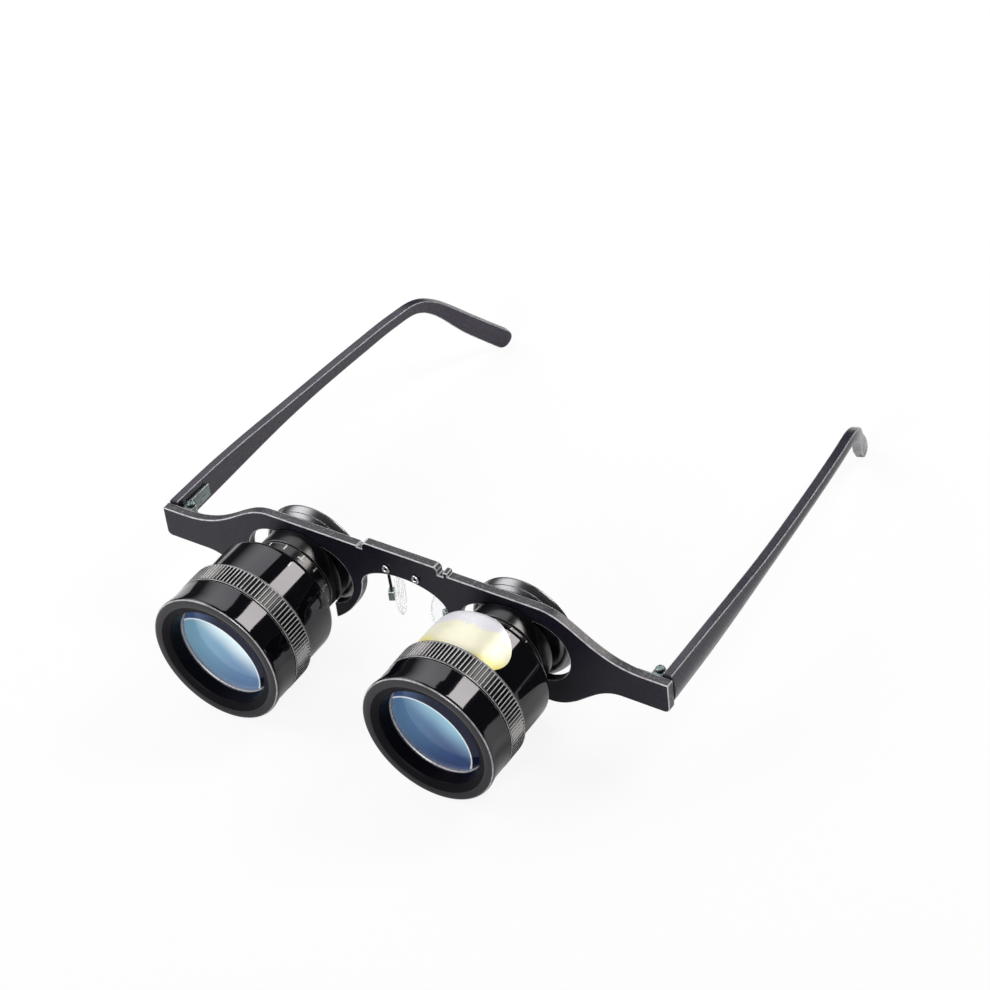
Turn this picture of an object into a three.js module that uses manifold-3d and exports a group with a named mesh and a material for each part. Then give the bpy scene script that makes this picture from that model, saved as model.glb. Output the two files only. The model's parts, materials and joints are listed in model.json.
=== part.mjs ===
// Binocular glasses: a spectacle frame that carries two small telescopes.
// Millimetres, +Z up, objectives towards -Y, temples towards +Y.
// The pieces are placed in the wearing frame (y = 0 on the front face of the
// plate, z = 0 on the telescope axes) and the whole is then tipped to its rest pose.
import * as THREE from "three";
import { mergeVertices } from "three/addons/utils/BufferGeometryUtils.js";
import Module from "manifold-3d";

const wasm = await Module();
wasm.setup();

const degrees = Math.PI / 180;

// Shared fits
const gap = 0.3;               // running and seating clearance
const overrun = 1;             // how far a cut passes the faces it leaves through
const roundSteps = 40;         // facets round a barrel
const smallSteps = 12;         // facets round a pin or screw
const outlineSteps = 10;       // facets along each curve of the plate
const lensSteps = 4;           // rings on each face of a lens
const cornerSteps = 3;         // facets of a rounded edge
const wireSteps = 18;          // pieces along a nose arm
const weldDistance = 1e-4;     // corners closer than this are one corner

// Front plate
const plateThickness = 2.6;
const halfWidth = 79.6;
const browHeight = 15;         // top edge over the telescopes, above their axes
const browHalfSpan = 42;       // where the brow starts to fall towards the hinge
const endTop = 3.6;
const endBottom = 5.9;
const endStraight = 7;         // level stretch of the top edge beside the hinge
const endCornerRadius = 1.6;
const lobeDepth = 16.9;        // lowest point of the plate, below the axes

// Bridge in the middle of the plate
const bridgeHeight = 16.9;
const bridgeHalfWidth = 11;
const bridgeChamfer = 0.9;
const notchWidth = 1.6;
const notchDepth = 1.4;
const nibWidth = 1.5;
const nibHeight = 1.1;
const archHeight = 8.7;        // top of the nose arch above the axes
const archHalfWidth = 13.5;    // half width of the arch just above the axes
const archWaist = 1.5;         // height at which it is that wide

// Telescope slots in the plate
const slotHalfHeight = 9.75;
const slotInnerEnd = 17;
const slotOuterEnd = 50.6;
const throatStart = 24.1;      // open throat below each slot
const throatWidth = 4.6;
const noseTipDepth = 14.6;

// Telescope barrels, front to back
const eyeHalfDistance = 33;    // half the distance between the two optical axes
const rimFront = -40.5;
const rimRadius = 19.6;
const rimLength = 2.1;
const rimRound = 0.7;
const capRadius = 19.1;
const capRear = -31.3;
const mouthRadius = 17;        // outer edge of the bevel in the front face
const mouthInner = 14.9;
const mouthBevelDepth = 0.9;
const apertureRadius = 14.2;
const apertureDepth = 4.6;     // from the front face to the ring before the lens
const seamGap = 0.35;
const knurlRadius = 19.2;
const knurlDepth = 0.4;
const knurlCount = 108;
const knurlLength = 6.6;
const drumRadius = 17.9;
const drumRear = -11.4;
const drumShoulder = 2;
const drumWall = 1.6;
const drumNutLength = 6;       // threaded part of the drum that runs on the neck
const neckRadius = 12;
const neckFront = -25;
const collarRadius = 12.5;
const collarLength = 4.6;
const tubeBore = 8;
const bossRadius = slotHalfHeight - gap;

// Lenses
const objectiveRadius = 17;    // a 34 mm lens
const objectiveEdge = 2.9;
const objectiveBulge = 0.5;
const lensRingLength = 1;
const ocularRadius = 8.7;
const ocularEdge = 1.3;
const ocularDish = 0.3;

// Eyepiece behind the plate
const eyepieceLength = 2;
const eyepieceFrontRadius = 12.9;
const eyepieceRadius = 14.3;
const spigotLength = 1.3;
const spigotRadius = 9.1;
const eyecupRadius = 15.6;
const eyecupLength = 2.5;
const eyecupRound = 0.8;
const eyecupInner = 11.4;
const eyecupLip = 0.4;         // the eyecup stands this far behind the housing
const pupilRadius = 7.6;

// Oval label on the right drum, without text
const labelLift = 0.05;
const labelThickness = 0.15;
const labelFirstFacet = 6;     // counted from the side of the drum
const labelFacets = 10;
const labelLength = 15.8;      // along the barrel, before the knurl cuts it short
const labelMiddle = -17.4;

// Temples
const templeThickness = 3;
const templeRootHeight = 9;
const templeLength = 108;      // from the frame to where the bend begins
const templeDrop = 2.2;        // how far the bend lies below the hinge
const templeInset = 5.3;       // how far the bowed temple lies inside the hinge there
const tipBack = 32.3;
const tipDrop = 29.8;
const tipInset = 12.2;
const tipRound = 3.1;
const templeEdge = 0.4;        // chamfer along the temple's four edges
const templeSections = 28;

// Hinge
const hingeInset = 5.4;        // pin inside the outer face of the temple
const hingeSetback = 3;        // pin behind the back face of the plate
const knuckleRadius = 1.5;
const knuckleHeight = 2;
const leafThickness = 0.8;
const frameLeafHeight = 5;
const frameLeafLength = 7;
const templeLeafHeight = 4.2;
const templeLeafLength = 8;
const pinRadius = 0.7;
const screwHeadRadius = 1.2;
const screwHeadHeight = 0.5;

// Nose rest
const rivetSpacing = 9.3;
const rivetHeight = 10.5;      // above the axes
const rivetRadius = 0.8;
const rivetHeadRadius = 1.25;
const rivetHeadHeight = 0.35;
const bracketHeight = 3.2;
const bracketThickness = 0.8;
const bracketMargin = 2.8;
const armRadius = 0.5;
const padHalfSpread = 8.9;     // pad boxes from the middle
const padSetback = 6;          // pad boxes behind the front face
const padLevel = -5;
const padBoxWidth = 1.8;
const padBoxDepth = 2.4;
const padBoxHeight = 3;
const padHeight = 14;
const padDepth = 7.5;
const padThickness = 2.2;
const padTurn = 28;            // degrees, the pads open towards the wearer
const padLug = 1.1;

// Rest pose: tipped about X until rims and temple tips stand on the ground
const steepestTilt = 12;       // degrees, well past any tilt that can be needed
const tiltRounds = 24;         // halvings of the search for the tilt

const finishes = {
  frame: { color: 0x141417, roughness: 0.38, metalness: 0.0 },
  temple: { color: 0x17171b, roughness: 0.34, metalness: 0.0 },
  barrel: { color: 0x0c0c0e, roughness: 0.16, metalness: 0.25 },
  neck: { color: 0x1b1b1e, roughness: 0.3, metalness: 0.3 },
  eyepiece: { color: 0x101013, roughness: 0.22, metalness: 0.1 },
  blueGlass: { color: 0x5b7fae, roughness: 0.04, metalness: 0.0 },
  clearGlass: { color: 0xb7c4d6, roughness: 0.04, metalness: 0.0 },
  steel: { color: 0xb9bbc0, roughness: 0.25, metalness: 1.0 },
  silicone: { color: 0xe6e8ea, roughness: 0.25, metalness: 0.0 },
  label: { color: 0xe9dd9a, roughness: 0.4, metalness: 0.2 },
};
const materials = Object.fromEntries(
  Object.entries(finishes).map(([key, values]) => [key, new THREE.MeshStandardMaterial(values)]),
);

// Geometry helpers

function closedBody(geometry) {
  geometry.deleteAttribute("normal");
  geometry.deleteAttribute("uv");
  const body = mergeVertices(geometry, weldDistance);
  const place = body.getAttribute("position");
  const index = Array.from(body.getIndex().array);
  const faces = [];
  for (let i = 0; i < index.length; i += 3) {
    const [a, b, c] = index.slice(i, i + 3);
    if (a !== b && b !== c && a !== c) faces.push([a, b, c]);
  }
  const corner = (n) => new THREE.Vector3().fromBufferAttribute(place, n);
  const volume = faces.reduce(
    (sum, [a, b, c]) => sum + corner(a).dot(corner(b).cross(corner(c))),
    0,
  );
  const outward = volume > 0 ? faces : faces.map(([a, b, c]) => [a, c, b]);
  body.setIndex(outward.flat());
  return body;
}

function toSolid(geometry) {
  const body = closedBody(geometry);
  return new wasm.Manifold(
    new wasm.Mesh({
      numProp: 3,
      vertProperties: new Float32Array(body.getAttribute("position").array),
      triVerts: new Uint32Array(body.getIndex().array),
    }),
  );
}

function toGeometry(solid) {
  const mesh = solid.getMesh();
  const geometry = new THREE.BufferGeometry();
  geometry.setAttribute("position", new THREE.BufferAttribute(mesh.vertProperties, 3));
  geometry.setIndex(new THREE.BufferAttribute(mesh.triVerts, 1));
  return geometry;
}

// A body turned about the Y axis from [radius, y] pairs that close on themselves.
function turned(profile, steps = roundSteps) {
  const points = profile.map(([radius, y]) => new THREE.Vector2(radius, y));
  if (profile[0][0] > 0) points.push(points[0].clone());
  return closedBody(new THREE.LatheGeometry(points, steps));
}

// Quarter-round corner between two directions, as [radius, y] pairs.
function quarter(radius, y, round, from, to, steps = cornerSteps) {
  return Array.from({ length: steps + 1 }, (_, i) => {
    const angle = (from + ((to - from) * i) / steps) * degrees;
    return [radius + round * Math.cos(angle), y + round * Math.sin(angle)];
  });
}

// An outline in the XZ plane, thickened from frontY towards +Y.
function slab(shape, frontY, thickness, steps = outlineSteps) {
  const geometry = new THREE.ExtrudeGeometry(shape, {
    depth: thickness,
    bevelEnabled: false,
    curveSegments: steps,
  });
  geometry.rotateX(Math.PI / 2);
  geometry.translate(0, frontY + thickness, 0);
  return closedBody(geometry);
}

function block(width, depth, height) {
  return closedBody(new THREE.BoxGeometry(width, depth, height));
}

function rod(radius, length, steps = smallSteps) {
  return closedBody(new THREE.CylinderGeometry(radius, radius, length, steps));
}

// Skin over rings that hold the same number of points.
function loft(rings) {
  const count = rings[0].length;
  const positions = rings.flat().flatMap((p) => [p.x, p.y, p.z]);
  const index = [];
  for (let r = 0; r + 1 < rings.length; r += 1) {
    for (let i = 0; i < count; i += 1) {
      const a = r * count + i;
      const b = r * count + ((i + 1) % count);
      index.push(a, b, b + count, a, b + count, a + count);
    }
  }
  const last = (rings.length - 1) * count;
  for (let i = 1; i + 1 < count; i += 1) {
    index.push(0, i + 1, i, last, last + i, last + i + 1);
  }
  const geometry = new THREE.BufferGeometry();
  geometry.setAttribute("position", new THREE.Float32BufferAttribute(positions, 3));
  geometry.setIndex(index);
  return closedBody(geometry);
}

// Scene graph

const glasses = new THREE.Group();
const worn = new THREE.Group();
glasses.add(worn);

function place(name, geometry, finish, x = 0, y = 0, z = 0) {
  geometry.computeVertexNormals();
  const mesh = new THREE.Mesh(geometry, materials[finish]);
  mesh.name = name;
  mesh.position.set(x, y, z);
  worn.add(mesh);
  return mesh;
}

const sides = [
  { name: "left", sign: -1 },
  { name: "right", sign: 1 },
];

// Front plate: one half outline from the middle of the brow, round the end,
// the slot and the nose arch, back to the middle.

function halfOutline(withNib) {
  const path = new THREE.Path();
  const bridgeFoot = bridgeHalfWidth + bridgeChamfer;
  const notchEnd = bridgeFoot + notchWidth;
  const notchFloor = browHeight - notchDepth;
  path.moveTo(0, bridgeHeight);
  path.lineTo(bridgeHalfWidth, bridgeHeight);
  path.lineTo(bridgeFoot, bridgeHeight - bridgeChamfer);
  path.lineTo(bridgeFoot, notchFloor);
  path.lineTo(notchEnd, notchFloor);
  if (withNib) {
    path.lineTo(notchEnd, browHeight + nibHeight);
    path.lineTo(notchEnd + nibWidth, browHeight + nibHeight);
    path.lineTo(notchEnd + nibWidth, browHeight);
  } else {
    path.lineTo(notchEnd, browHeight);
  }
  path.lineTo(browHalfSpan, browHeight);

  const fallEnd = halfWidth - endStraight;
  const fall = fallEnd - browHalfSpan;
  const browShare = 0.33;
  const tailShare = 0.52;
  path.bezierCurveTo(
    browHalfSpan + fall * browShare, browHeight,
    fallEnd - fall * tailShare, endTop,
    fallEnd, endTop,
  );
  path.lineTo(halfWidth, endTop);
  const cornerX = halfWidth - endCornerRadius;
  const cornerZ = endCornerRadius - endBottom;
  path.lineTo(halfWidth, cornerZ);
  path.absarc(cornerX, cornerZ, endCornerRadius, 0, -Math.PI / 2, true);

  const hollowStart = fallEnd - endStraight;
  const lobeMiddle = eyeHalfDistance + slotHalfHeight;
  const rise = hollowStart - lobeMiddle;
  const hollowShare = 0.4;
  const lobeShare = 0.42;
  path.lineTo(hollowStart, -endBottom);
  path.bezierCurveTo(
    hollowStart - rise * hollowShare, -endBottom,
    lobeMiddle + rise * lobeShare, -lobeDepth,
    lobeMiddle, -lobeDepth,
  );
  const throatEnd = throatStart + throatWidth;
  path.lineTo(throatEnd, -lobeDepth);

  const innerCentre = slotInnerEnd + slotHalfHeight;
  const outerCentre = slotOuterEnd - slotHalfHeight;
  path.lineTo(throatEnd, -slotHalfHeight);
  path.absarc(outerCentre, 0, slotHalfHeight, -Math.PI / 2, Math.PI / 2, false);
  const throatAngle = -Math.acos((throatStart - innerCentre) / slotHalfHeight);
  path.absarc(innerCentre, 0, slotHalfHeight, Math.PI / 2, throatAngle + 2 * Math.PI, false);
  path.lineTo(throatStart, -noseTipDepth);

  const cheek = throatStart - archHalfWidth;
  const cheekDrop = noseTipDepth + archWaist;
  const cheekShares = { lowAcross: 0.46, lowDown: 0.2, highAcross: 0.06, highDown: 0.36 };
  path.bezierCurveTo(
    throatStart - cheek * cheekShares.lowAcross, -noseTipDepth + cheekDrop * cheekShares.lowDown,
    archHalfWidth + cheek * cheekShares.highAcross, archWaist - cheekDrop * cheekShares.highDown,
    archHalfWidth, archWaist,
  );
  const archRise = archHeight - archWaist;
  const archShares = { up: 0.62, across: 0.5 };
  path.bezierCurveTo(
    archHalfWidth, archWaist + archRise * archShares.up,
    archHalfWidth * archShares.across, archHeight,
    0, archHeight,
  );
  return path.getPoints(outlineSteps);
}

function frontPlate() {
  const right = halfOutline(true);
  const left = halfOutline(false).map((p) => new THREE.Vector2(-p.x, p.y)).reverse();
  const shape = new THREE.Shape([...right, ...left]);
  let plate = toSolid(slab(shape, 0, plateThickness));
  for (const { sign } of sides) {
    const hole = rod(rivetRadius + gap, plateThickness + 2 * overrun);
    hole.translate((sign * rivetSpacing) / 2, plateThickness / 2, rivetHeight);
    plate = plate.subtract(toSolid(hole));
  }
  return toGeometry(plate);
}

place("front_frame", frontPlate(), "frame");

// Telescopes

const lensFront = rimFront + apertureDepth + lensRingLength + 2 * gap;
const drumFront = capRear + seamGap;
const collarRear = -gap;
const spigotRear = plateThickness + gap + spigotLength;

function frontCap() {
  const seat = objectiveRadius + gap;
  return turned([
    [mouthRadius, rimFront],
    ...quarter(rimRadius - rimRound, rimFront + rimRound, rimRound, -90, 0),
    [rimRadius, rimFront + rimLength],
    [capRadius, rimFront + rimLength + rimRound],
    [capRadius, capRear],
    [seat, capRear],
    [seat, rimFront + apertureDepth],
    [apertureRadius, rimFront + apertureDepth],
    [mouthInner, rimFront + mouthBevelDepth],
  ]);
}

function lensRing() {
  const front = rimFront + apertureDepth + gap;
  const bevel = lensRingLength / 2;
  return turned([
    [apertureRadius, front],
    [objectiveRadius, front],
    [objectiveRadius, front + lensRingLength],
    [apertureRadius + bevel, front + lensRingLength],
    [apertureRadius, front + bevel],
  ]);
}

// A round lens whose two faces bulge, or dish where the bulge is negative.
function lens(radius, frontY, edge, bulge) {
  const face = (y, depth) => Array.from({ length: lensSteps }, (_, i) => {
    const share = i / lensSteps;
    return [radius * share, y + depth * (1 - share ** 2)];
  });
  return turned([
    ...face(frontY, -bulge),
    [radius, frontY],
    [radius, frontY + edge],
    ...face(frontY + edge, bulge).reverse(),
  ]);
}

function focusDrum() {
  const knurlRear = drumFront + knurlLength;
  const bore = neckRadius + gap;
  const innerRadius = drumRadius - drumWall;
  const body = toSolid(turned([
    [innerRadius, drumFront],
    [knurlRadius, drumFront],
    [knurlRadius, knurlRear],
    [drumRadius, knurlRear],
    ...quarter(drumRadius - drumShoulder, drumRear - drumShoulder, drumShoulder, 0, 90),
    [bore, drumRear],
    [bore, drumRear - drumNutLength],
    [innerRadius, drumRear - drumNutLength],
  ]));
  return toGeometry(body.subtract(toSolid(knurlGrooves(drumFront, knurlRear))));
}

// A toothed ring that is taken out of the knurled band, one groove per tooth.
function knurlGrooves(front, rear) {
  const middle = (front + rear) / 2;
  const half = (rear - front) / 2 - knurlDepth;
  const outer = knurlRadius + overrun;
  const shape = new THREE.Shape();
  shape.absarc(0, 0, outer, 0, 2 * Math.PI, false);
  const teeth = new THREE.Path();
  for (let i = 0; i < knurlCount; i += 1) {
    const crest = (2 * Math.PI * i) / knurlCount;
    const root = crest + Math.PI / knurlCount;
    const crestPoint = [knurlRadius * Math.cos(crest), knurlRadius * Math.sin(crest)];
    const low = knurlRadius - knurlDepth;
    if (i === 0) teeth.moveTo(...crestPoint);
    else teeth.lineTo(...crestPoint);
    teeth.lineTo(low * Math.cos(root), low * Math.sin(root));
  }
  teeth.closePath();
  shape.holes.push(teeth);
  return slab(shape, middle - half, 2 * half, roundSteps);
}

function telescopeTube() {
  const collarFront = collarRear - collarLength;
  return turned([
    [tubeBore, neckFront],
    [neckRadius, neckFront],
    [neckRadius, collarFront - gap],
    [collarRadius, collarFront],
    [collarRadius, collarRear],
    [bossRadius, collarRear],
    [bossRadius, plateThickness],
    [spigotRadius, plateThickness],
    [spigotRadius, spigotRear],
    [tubeBore, spigotRear],
  ]);
}

const eyepieceFront = plateThickness + gap;
const ocularFront = spigotRear + gap;
const eyepieceRear = eyepieceFront + eyepieceLength;
const ocularRear = ocularFront + ocularEdge;
const eyecupRear = eyepieceRear + eyecupLength;

function eyepieceHousing() {
  const socket = spigotRadius + gap;
  const sleeveRadius = eyecupInner - gap;
  const sleeveRear = eyecupRear - eyecupLip;
  return turned([
    [socket, eyepieceFront],
    [eyepieceFrontRadius, eyepieceFront],
    [eyepieceRadius, eyepieceFront + (eyepieceLength - gap) / 2],
    [eyepieceRadius, eyepieceRear - gap],
    [sleeveRadius, eyepieceRear - gap],
    [sleeveRadius, sleeveRear],
    [pupilRadius, sleeveRear],
    [pupilRadius, ocularRear + gap],
    [socket, ocularRear + gap],
  ]);
}

function eyecup() {
  const middle = eyepieceRear + eyecupLength / 2;
  const round = eyecupRadius - eyecupRound;
  return turned([
    [eyecupInner, eyepieceRear],
    [round, eyepieceRear],
    ...quarter(round, middle - eyecupRound / 2, eyecupRound, -45, 0, cornerSteps - 1),
    ...quarter(round, eyecupRear - eyecupRound, eyecupRound, 0, 90),
    [eyecupInner, eyecupRear],
  ]);
}

for (const { name, sign } of sides) {
  const x = sign * eyeHalfDistance;
  const ocular = lens(ocularRadius, ocularFront, ocularEdge, -ocularDish);
  const objective = lens(objectiveRadius, lensFront, objectiveEdge, objectiveBulge);
  place(`${name}_telescope_tube`, telescopeTube(), "neck", x);
  place(`${name}_eyepiece_housing`, eyepieceHousing(), "eyepiece", x);
  place(`${name}_eyecup`, eyecup(), "eyepiece", x);
  place(`${name}_ocular_lens`, ocular, "clearGlass", x);
  place(`${name}_focus_drum`, focusDrum(), "barrel", x);
  place(`${name}_front_cap`, frontCap(), "barrel", x);
  place(`${name}_lens_ring`, lensRing(), "barrel", x);
  place(`${name}_objective_lens`, objective, "blueGlass", x);
}

// Oval label, bent round the drum on the drum's own facets. The knurl cuts off
// its front edge, and its rear edge stands out over the drum's shoulder.
function ovalLabel() {
  const knurlRear = drumFront + knurlLength;
  const inner = drumRadius + labelLift;
  const outer = inner + labelThickness;
  const endShare = 0.24;
  const rings = [];
  for (let i = 0; i <= labelFacets; i += 1) {
    const across = (2 * i) / labelFacets - 1;
    const angle = (2 * Math.PI * (labelFirstFacet + i)) / roundSteps;
    const half = (labelLength / 2) * Math.sqrt(1 - across ** 2 * (1 - endShare));
    const front = Math.max(labelMiddle - half, knurlRear + gap);
    const rear = labelMiddle + half;
    const corner = (radius, y) =>
      new THREE.Vector3(radius * Math.cos(angle), y, radius * Math.sin(angle));
    rings.push([
      corner(inner, front),
      corner(outer, front),
      corner(outer, rear),
      corner(inner, rear),
    ]);
  }
  return loft(rings);
}

place("right_oval_label", ovalLabel(), "label", eyeHalfDistance);

// Temples: rings along a centre line that runs back with a slight bow, then
// bends down and in.

const templeFront = plateThickness + gap;
const templeOuter = halfWidth;

function templeLine() {
  const rootX = templeOuter - templeThickness / 2;
  const bendX = rootX - templeInset;
  const bendY = templeFront + templeLength;
  const bowShares = [0, 0.16, 0.32, 0.48, 0.64, 0.8, 0.93];
  const points = bowShares.map((share) => new THREE.Vector3(
    rootX - templeInset * share ** 2,
    templeFront + templeLength * share,
    -templeDrop * share ** 2,
  ));
  const tipShares = [
    { inset: 0.06, back: 0.1, drop: 0.03 },
    { inset: 0.2, back: 0.31, drop: 0.17 },
    { inset: 0.6, back: 0.64, drop: 0.58 },
    { inset: 1, back: 1, drop: 1 },
  ];
  for (const shares of tipShares) {
    points.push(new THREE.Vector3(
      bendX - tipInset * shares.inset,
      bendY + tipBack * shares.back,
      -templeDrop - tipDrop * shares.drop,
    ));
  }
  return new THREE.CatmullRomCurve3(points, false, "centripetal");
}

// Height of the temple along its length, as shares of the length and of the
// height at the root: deep at the hinge, slim before the bend, fuller at the tip.
const heightShares = [
  [0, 1],
  [0.12, 0.91],
  [0.2, 0.78],
  [0.32, 0.545],
  [0.42, 0.455],
  [0.7, 0.386],
  [0.79, 0.48],
  [0.87, 0.66],
  [1, 0.7],
];

function heightShareAt(share) {
  const next = Math.max(1, heightShares.findIndex(([at]) => at >= share));
  const [from, low] = heightShares[next - 1];
  const [to, high] = heightShares[next];
  return THREE.MathUtils.mapLinear(share, from, to, low, high);
}

function temple(sign) {
  const line = templeLine();
  const total = line.getLength();
  const halfWide = templeThickness / 2;
  const leastShare = 0.45;
  const rings = [];
  const across = new THREE.Vector3();
  for (let i = 0; i <= templeSections; i += 1) {
    const share = i / templeSections;
    const centre = line.getPointAt(share);
    const along = i === 0 ? new THREE.Vector3(0, 1, 0) : line.getTangentAt(share);
    across.set(along.y, -along.x, 0).normalize();
    const up = new THREE.Vector3().crossVectors(across, along).normalize();
    const remaining = (1 - share) * total;
    const roundShare = remaining < tipRound
      ? Math.sqrt(1 - (1 - remaining / tipRound) ** 2)
      : 1;
    const height = templeRootHeight * heightShareAt(share);
    const halfHeight = (height / 2) * Math.max(roundShare, leastShare);
    const corners = [
      [halfWide, halfHeight - templeEdge], [halfWide - templeEdge, halfHeight],
      [templeEdge - halfWide, halfHeight], [-halfWide, halfHeight - templeEdge],
      [-halfWide, templeEdge - halfHeight], [templeEdge - halfWide, -halfHeight],
      [halfWide - templeEdge, -halfHeight], [halfWide, templeEdge - halfHeight],
    ];
    rings.push(corners.map(([wide, high]) => {
      const p = centre.clone().addScaledVector(across, wide).addScaledVector(up, high);
      p.x *= sign;
      return p;
    }));
  }
  return loft(rings);
}

// Hinges: two leaves whose knuckles share one screw.

const pinX = templeOuter - hingeInset;
const pinY = plateThickness + hingeSetback;

function knuckle(sign, low, high) {
  const barrel = rod(knuckleRadius, high - low);
  barrel.rotateX(Math.PI / 2);
  barrel.translate(sign * pinX, pinY, (low + high) / 2);
  return toSolid(barrel);
}

function pinBore(sign) {
  const bore = rod(pinRadius + gap, frameLeafHeight + 2 * overrun);
  bore.rotateX(Math.PI / 2);
  bore.translate(sign * pinX, pinY, 0);
  return toSolid(bore);
}

function frameLeaf(sign) {
  const leafFront = plateThickness + gap;
  const leaf = block(frameLeafLength, leafThickness, frameLeafHeight);
  leaf.translate(
    sign * (pinX + knuckleRadius - frameLeafLength / 2),
    leafFront + leafThickness / 2,
    0,
  );
  const webDepth = pinY - leafFront;
  const inner = knuckleHeight / 2 + gap;
  const outer = frameLeafHeight / 2;
  let body = toSolid(leaf);
  for (const [low, high] of [[-outer, -inner], [inner, outer]]) {
    const web = block(2 * knuckleRadius, webDepth, high - low);
    web.translate(sign * pinX, leafFront + webDepth / 2, (low + high) / 2);
    body = body.add(toSolid(web)).add(knuckle(sign, low, high));
  }
  return toGeometry(body.subtract(pinBore(sign)));
}

function templeLeaf(sign) {
  const leafFront = pinY + knuckleRadius + gap;
  const leafX = templeOuter - templeThickness - gap - leafThickness / 2;
  const leaf = block(leafThickness, templeLeafLength, templeLeafHeight);
  leaf.translate(sign * leafX, leafFront + templeLeafLength / 2, 0);
  const reach = leafX + leafThickness / 2 - pinX;
  const web = block(reach, knuckleRadius, knuckleHeight);
  web.translate(sign * (pinX + reach / 2), pinY + knuckleRadius / 2, 0);
  const stemLength = leafFront + knuckleRadius - pinY;
  const stem = block(leafThickness, stemLength, knuckleHeight);
  stem.translate(sign * leafX, pinY + stemLength / 2, 0);
  const body = toSolid(leaf)
    .add(toSolid(web))
    .add(toSolid(stem))
    .add(knuckle(sign, -knuckleHeight / 2, knuckleHeight / 2));
  return toGeometry(body.subtract(pinBore(sign)));
}

function hingeScrew(sign) {
  const headLow = frameLeafHeight / 2 + gap;
  const shank = rod(pinRadius, frameLeafHeight + gap);
  shank.rotateX(Math.PI / 2);
  shank.translate(sign * pinX, pinY, gap / 2);
  const head = rod(screwHeadRadius, screwHeadHeight);
  head.rotateX(Math.PI / 2);
  head.translate(sign * pinX, pinY, headLow + screwHeadHeight / 2);
  return toGeometry(toSolid(shank).add(toSolid(head)));
}

for (const { name, sign } of sides) {
  place(`${name}_temple`, temple(sign), "temple");
  place(`${name}_frame_hinge_leaf`, frameLeaf(sign), "steel");
  place(`${name}_temple_hinge_leaf`, templeLeaf(sign), "steel");
  place(`${name}_hinge_screw`, hingeScrew(sign), "steel");
}

// Nose rest: a bracket riveted behind the arch, two wire arms, boxes and pads.

const bracketFront = plateThickness + gap;

function noseBracket() {
  const length = rivetSpacing + 2 * bracketMargin;
  const bar = block(length, bracketThickness, bracketHeight);
  bar.translate(0, bracketFront + bracketThickness / 2, rivetHeight);
  let body = toSolid(bar);
  for (const { sign } of sides) {
    const hole = rod(rivetRadius + gap, bracketThickness + 2 * overrun);
    hole.translate((sign * rivetSpacing) / 2, bracketFront + bracketThickness / 2, rivetHeight);
    body = body.subtract(toSolid(hole));
  }
  return toGeometry(body);
}

function rivet() {
  const rear = bracketFront + bracketThickness + gap;
  return turned([
    [0, -gap - rivetHeadHeight],
    [rivetHeadRadius - rivetHeadHeight / 2, -gap - rivetHeadHeight],
    [rivetHeadRadius, -gap - rivetHeadHeight / 2],
    [rivetHeadRadius, -gap],
    [rivetRadius, -gap],
    [rivetRadius, rear],
    [rivetHeadRadius, rear],
    [rivetHeadRadius, rear + rivetHeadHeight],
    [0, rear + rivetHeadHeight],
  ], smallSteps);
}

function noseArm(sign) {
  const startX = rivetSpacing / 2 + rivetHeadRadius + gap + armRadius;
  const startY = bracketFront + bracketThickness + gap + armRadius;
  const top = rivetHeight - bracketHeight / 2;
  const boxTop = padLevel + padBoxHeight / 2;
  const kneeShare = 0.45;
  const points = [
    new THREE.Vector3(startX, startY, top + bracketHeight / 2),
    new THREE.Vector3(startX, startY, top),
    new THREE.Vector3(
      padHalfSpread + armRadius,
      padSetback + armRadius,
      THREE.MathUtils.lerp(top, boxTop, kneeShare),
    ),
    new THREE.Vector3(padHalfSpread, padSetback, boxTop + 2 * armRadius),
    new THREE.Vector3(padHalfSpread, padSetback, boxTop + gap),
  ];
  for (const point of points) point.x *= sign;
  const section = new THREE.Shape();
  section.absarc(0, 0, armRadius, 0, 2 * Math.PI, false);
  const wire = new THREE.ExtrudeGeometry(section, {
    steps: wireSteps,
    curveSegments: smallSteps / 3,
    bevelEnabled: false,
    extrudePath: new THREE.CatmullRomCurve3(points, false, "centripetal"),
  });
  return closedBody(wire);
}

function turnedPart(geometry, sign) {
  geometry.rotateZ(sign * -padTurn * degrees);
  geometry.translate(sign * padHalfSpread, padSetback, padLevel);
  return geometry;
}

function padBox(sign) {
  const body = block(padBoxWidth, padBoxDepth, padBoxHeight);
  const pocket = block(padBoxWidth, padLug + 2 * gap, padLug + 2 * gap);
  pocket.translate(-sign * (padBoxWidth / 2), 0, 0);
  return turnedPart(toGeometry(toSolid(body).subtract(toSolid(pocket))), sign);
}

function nosePad(sign) {
  const outline = new THREE.Shape();
  outline.absellipse(0, 0, padDepth / 2, padHeight / 2, 0, 2 * Math.PI, false, 0);
  const round = padThickness / 4;
  const pad = new THREE.ExtrudeGeometry(outline, {
    depth: padThickness - 2 * round,
    bevelThickness: round,
    bevelSize: round,
    bevelOffset: -round,
    bevelSegments: cornerSteps - 1,
    curveSegments: outlineSteps + cornerSteps * 2,
  });
  pad.rotateX(Math.PI / 2);
  pad.rotateZ(Math.PI / 2);
  pad.computeBoundingBox();
  const middle = pad.boundingBox.getCenter(new THREE.Vector3());
  const faceX = -sign * (padBoxWidth / 2 + gap + padThickness / 2);
  pad.translate(faceX - middle.x, -middle.y, -middle.z);
  const lugStart = gap;
  const lugEnd = padBoxWidth / 2 + 2 * gap;
  const lug = block(lugEnd - lugStart, padLug, padLug);
  lug.translate((-sign * (lugStart + lugEnd)) / 2, 0, 0);
  const body = toSolid(pad).add(toSolid(lug));
  return turnedPart(toGeometry(body), sign);
}

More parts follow.
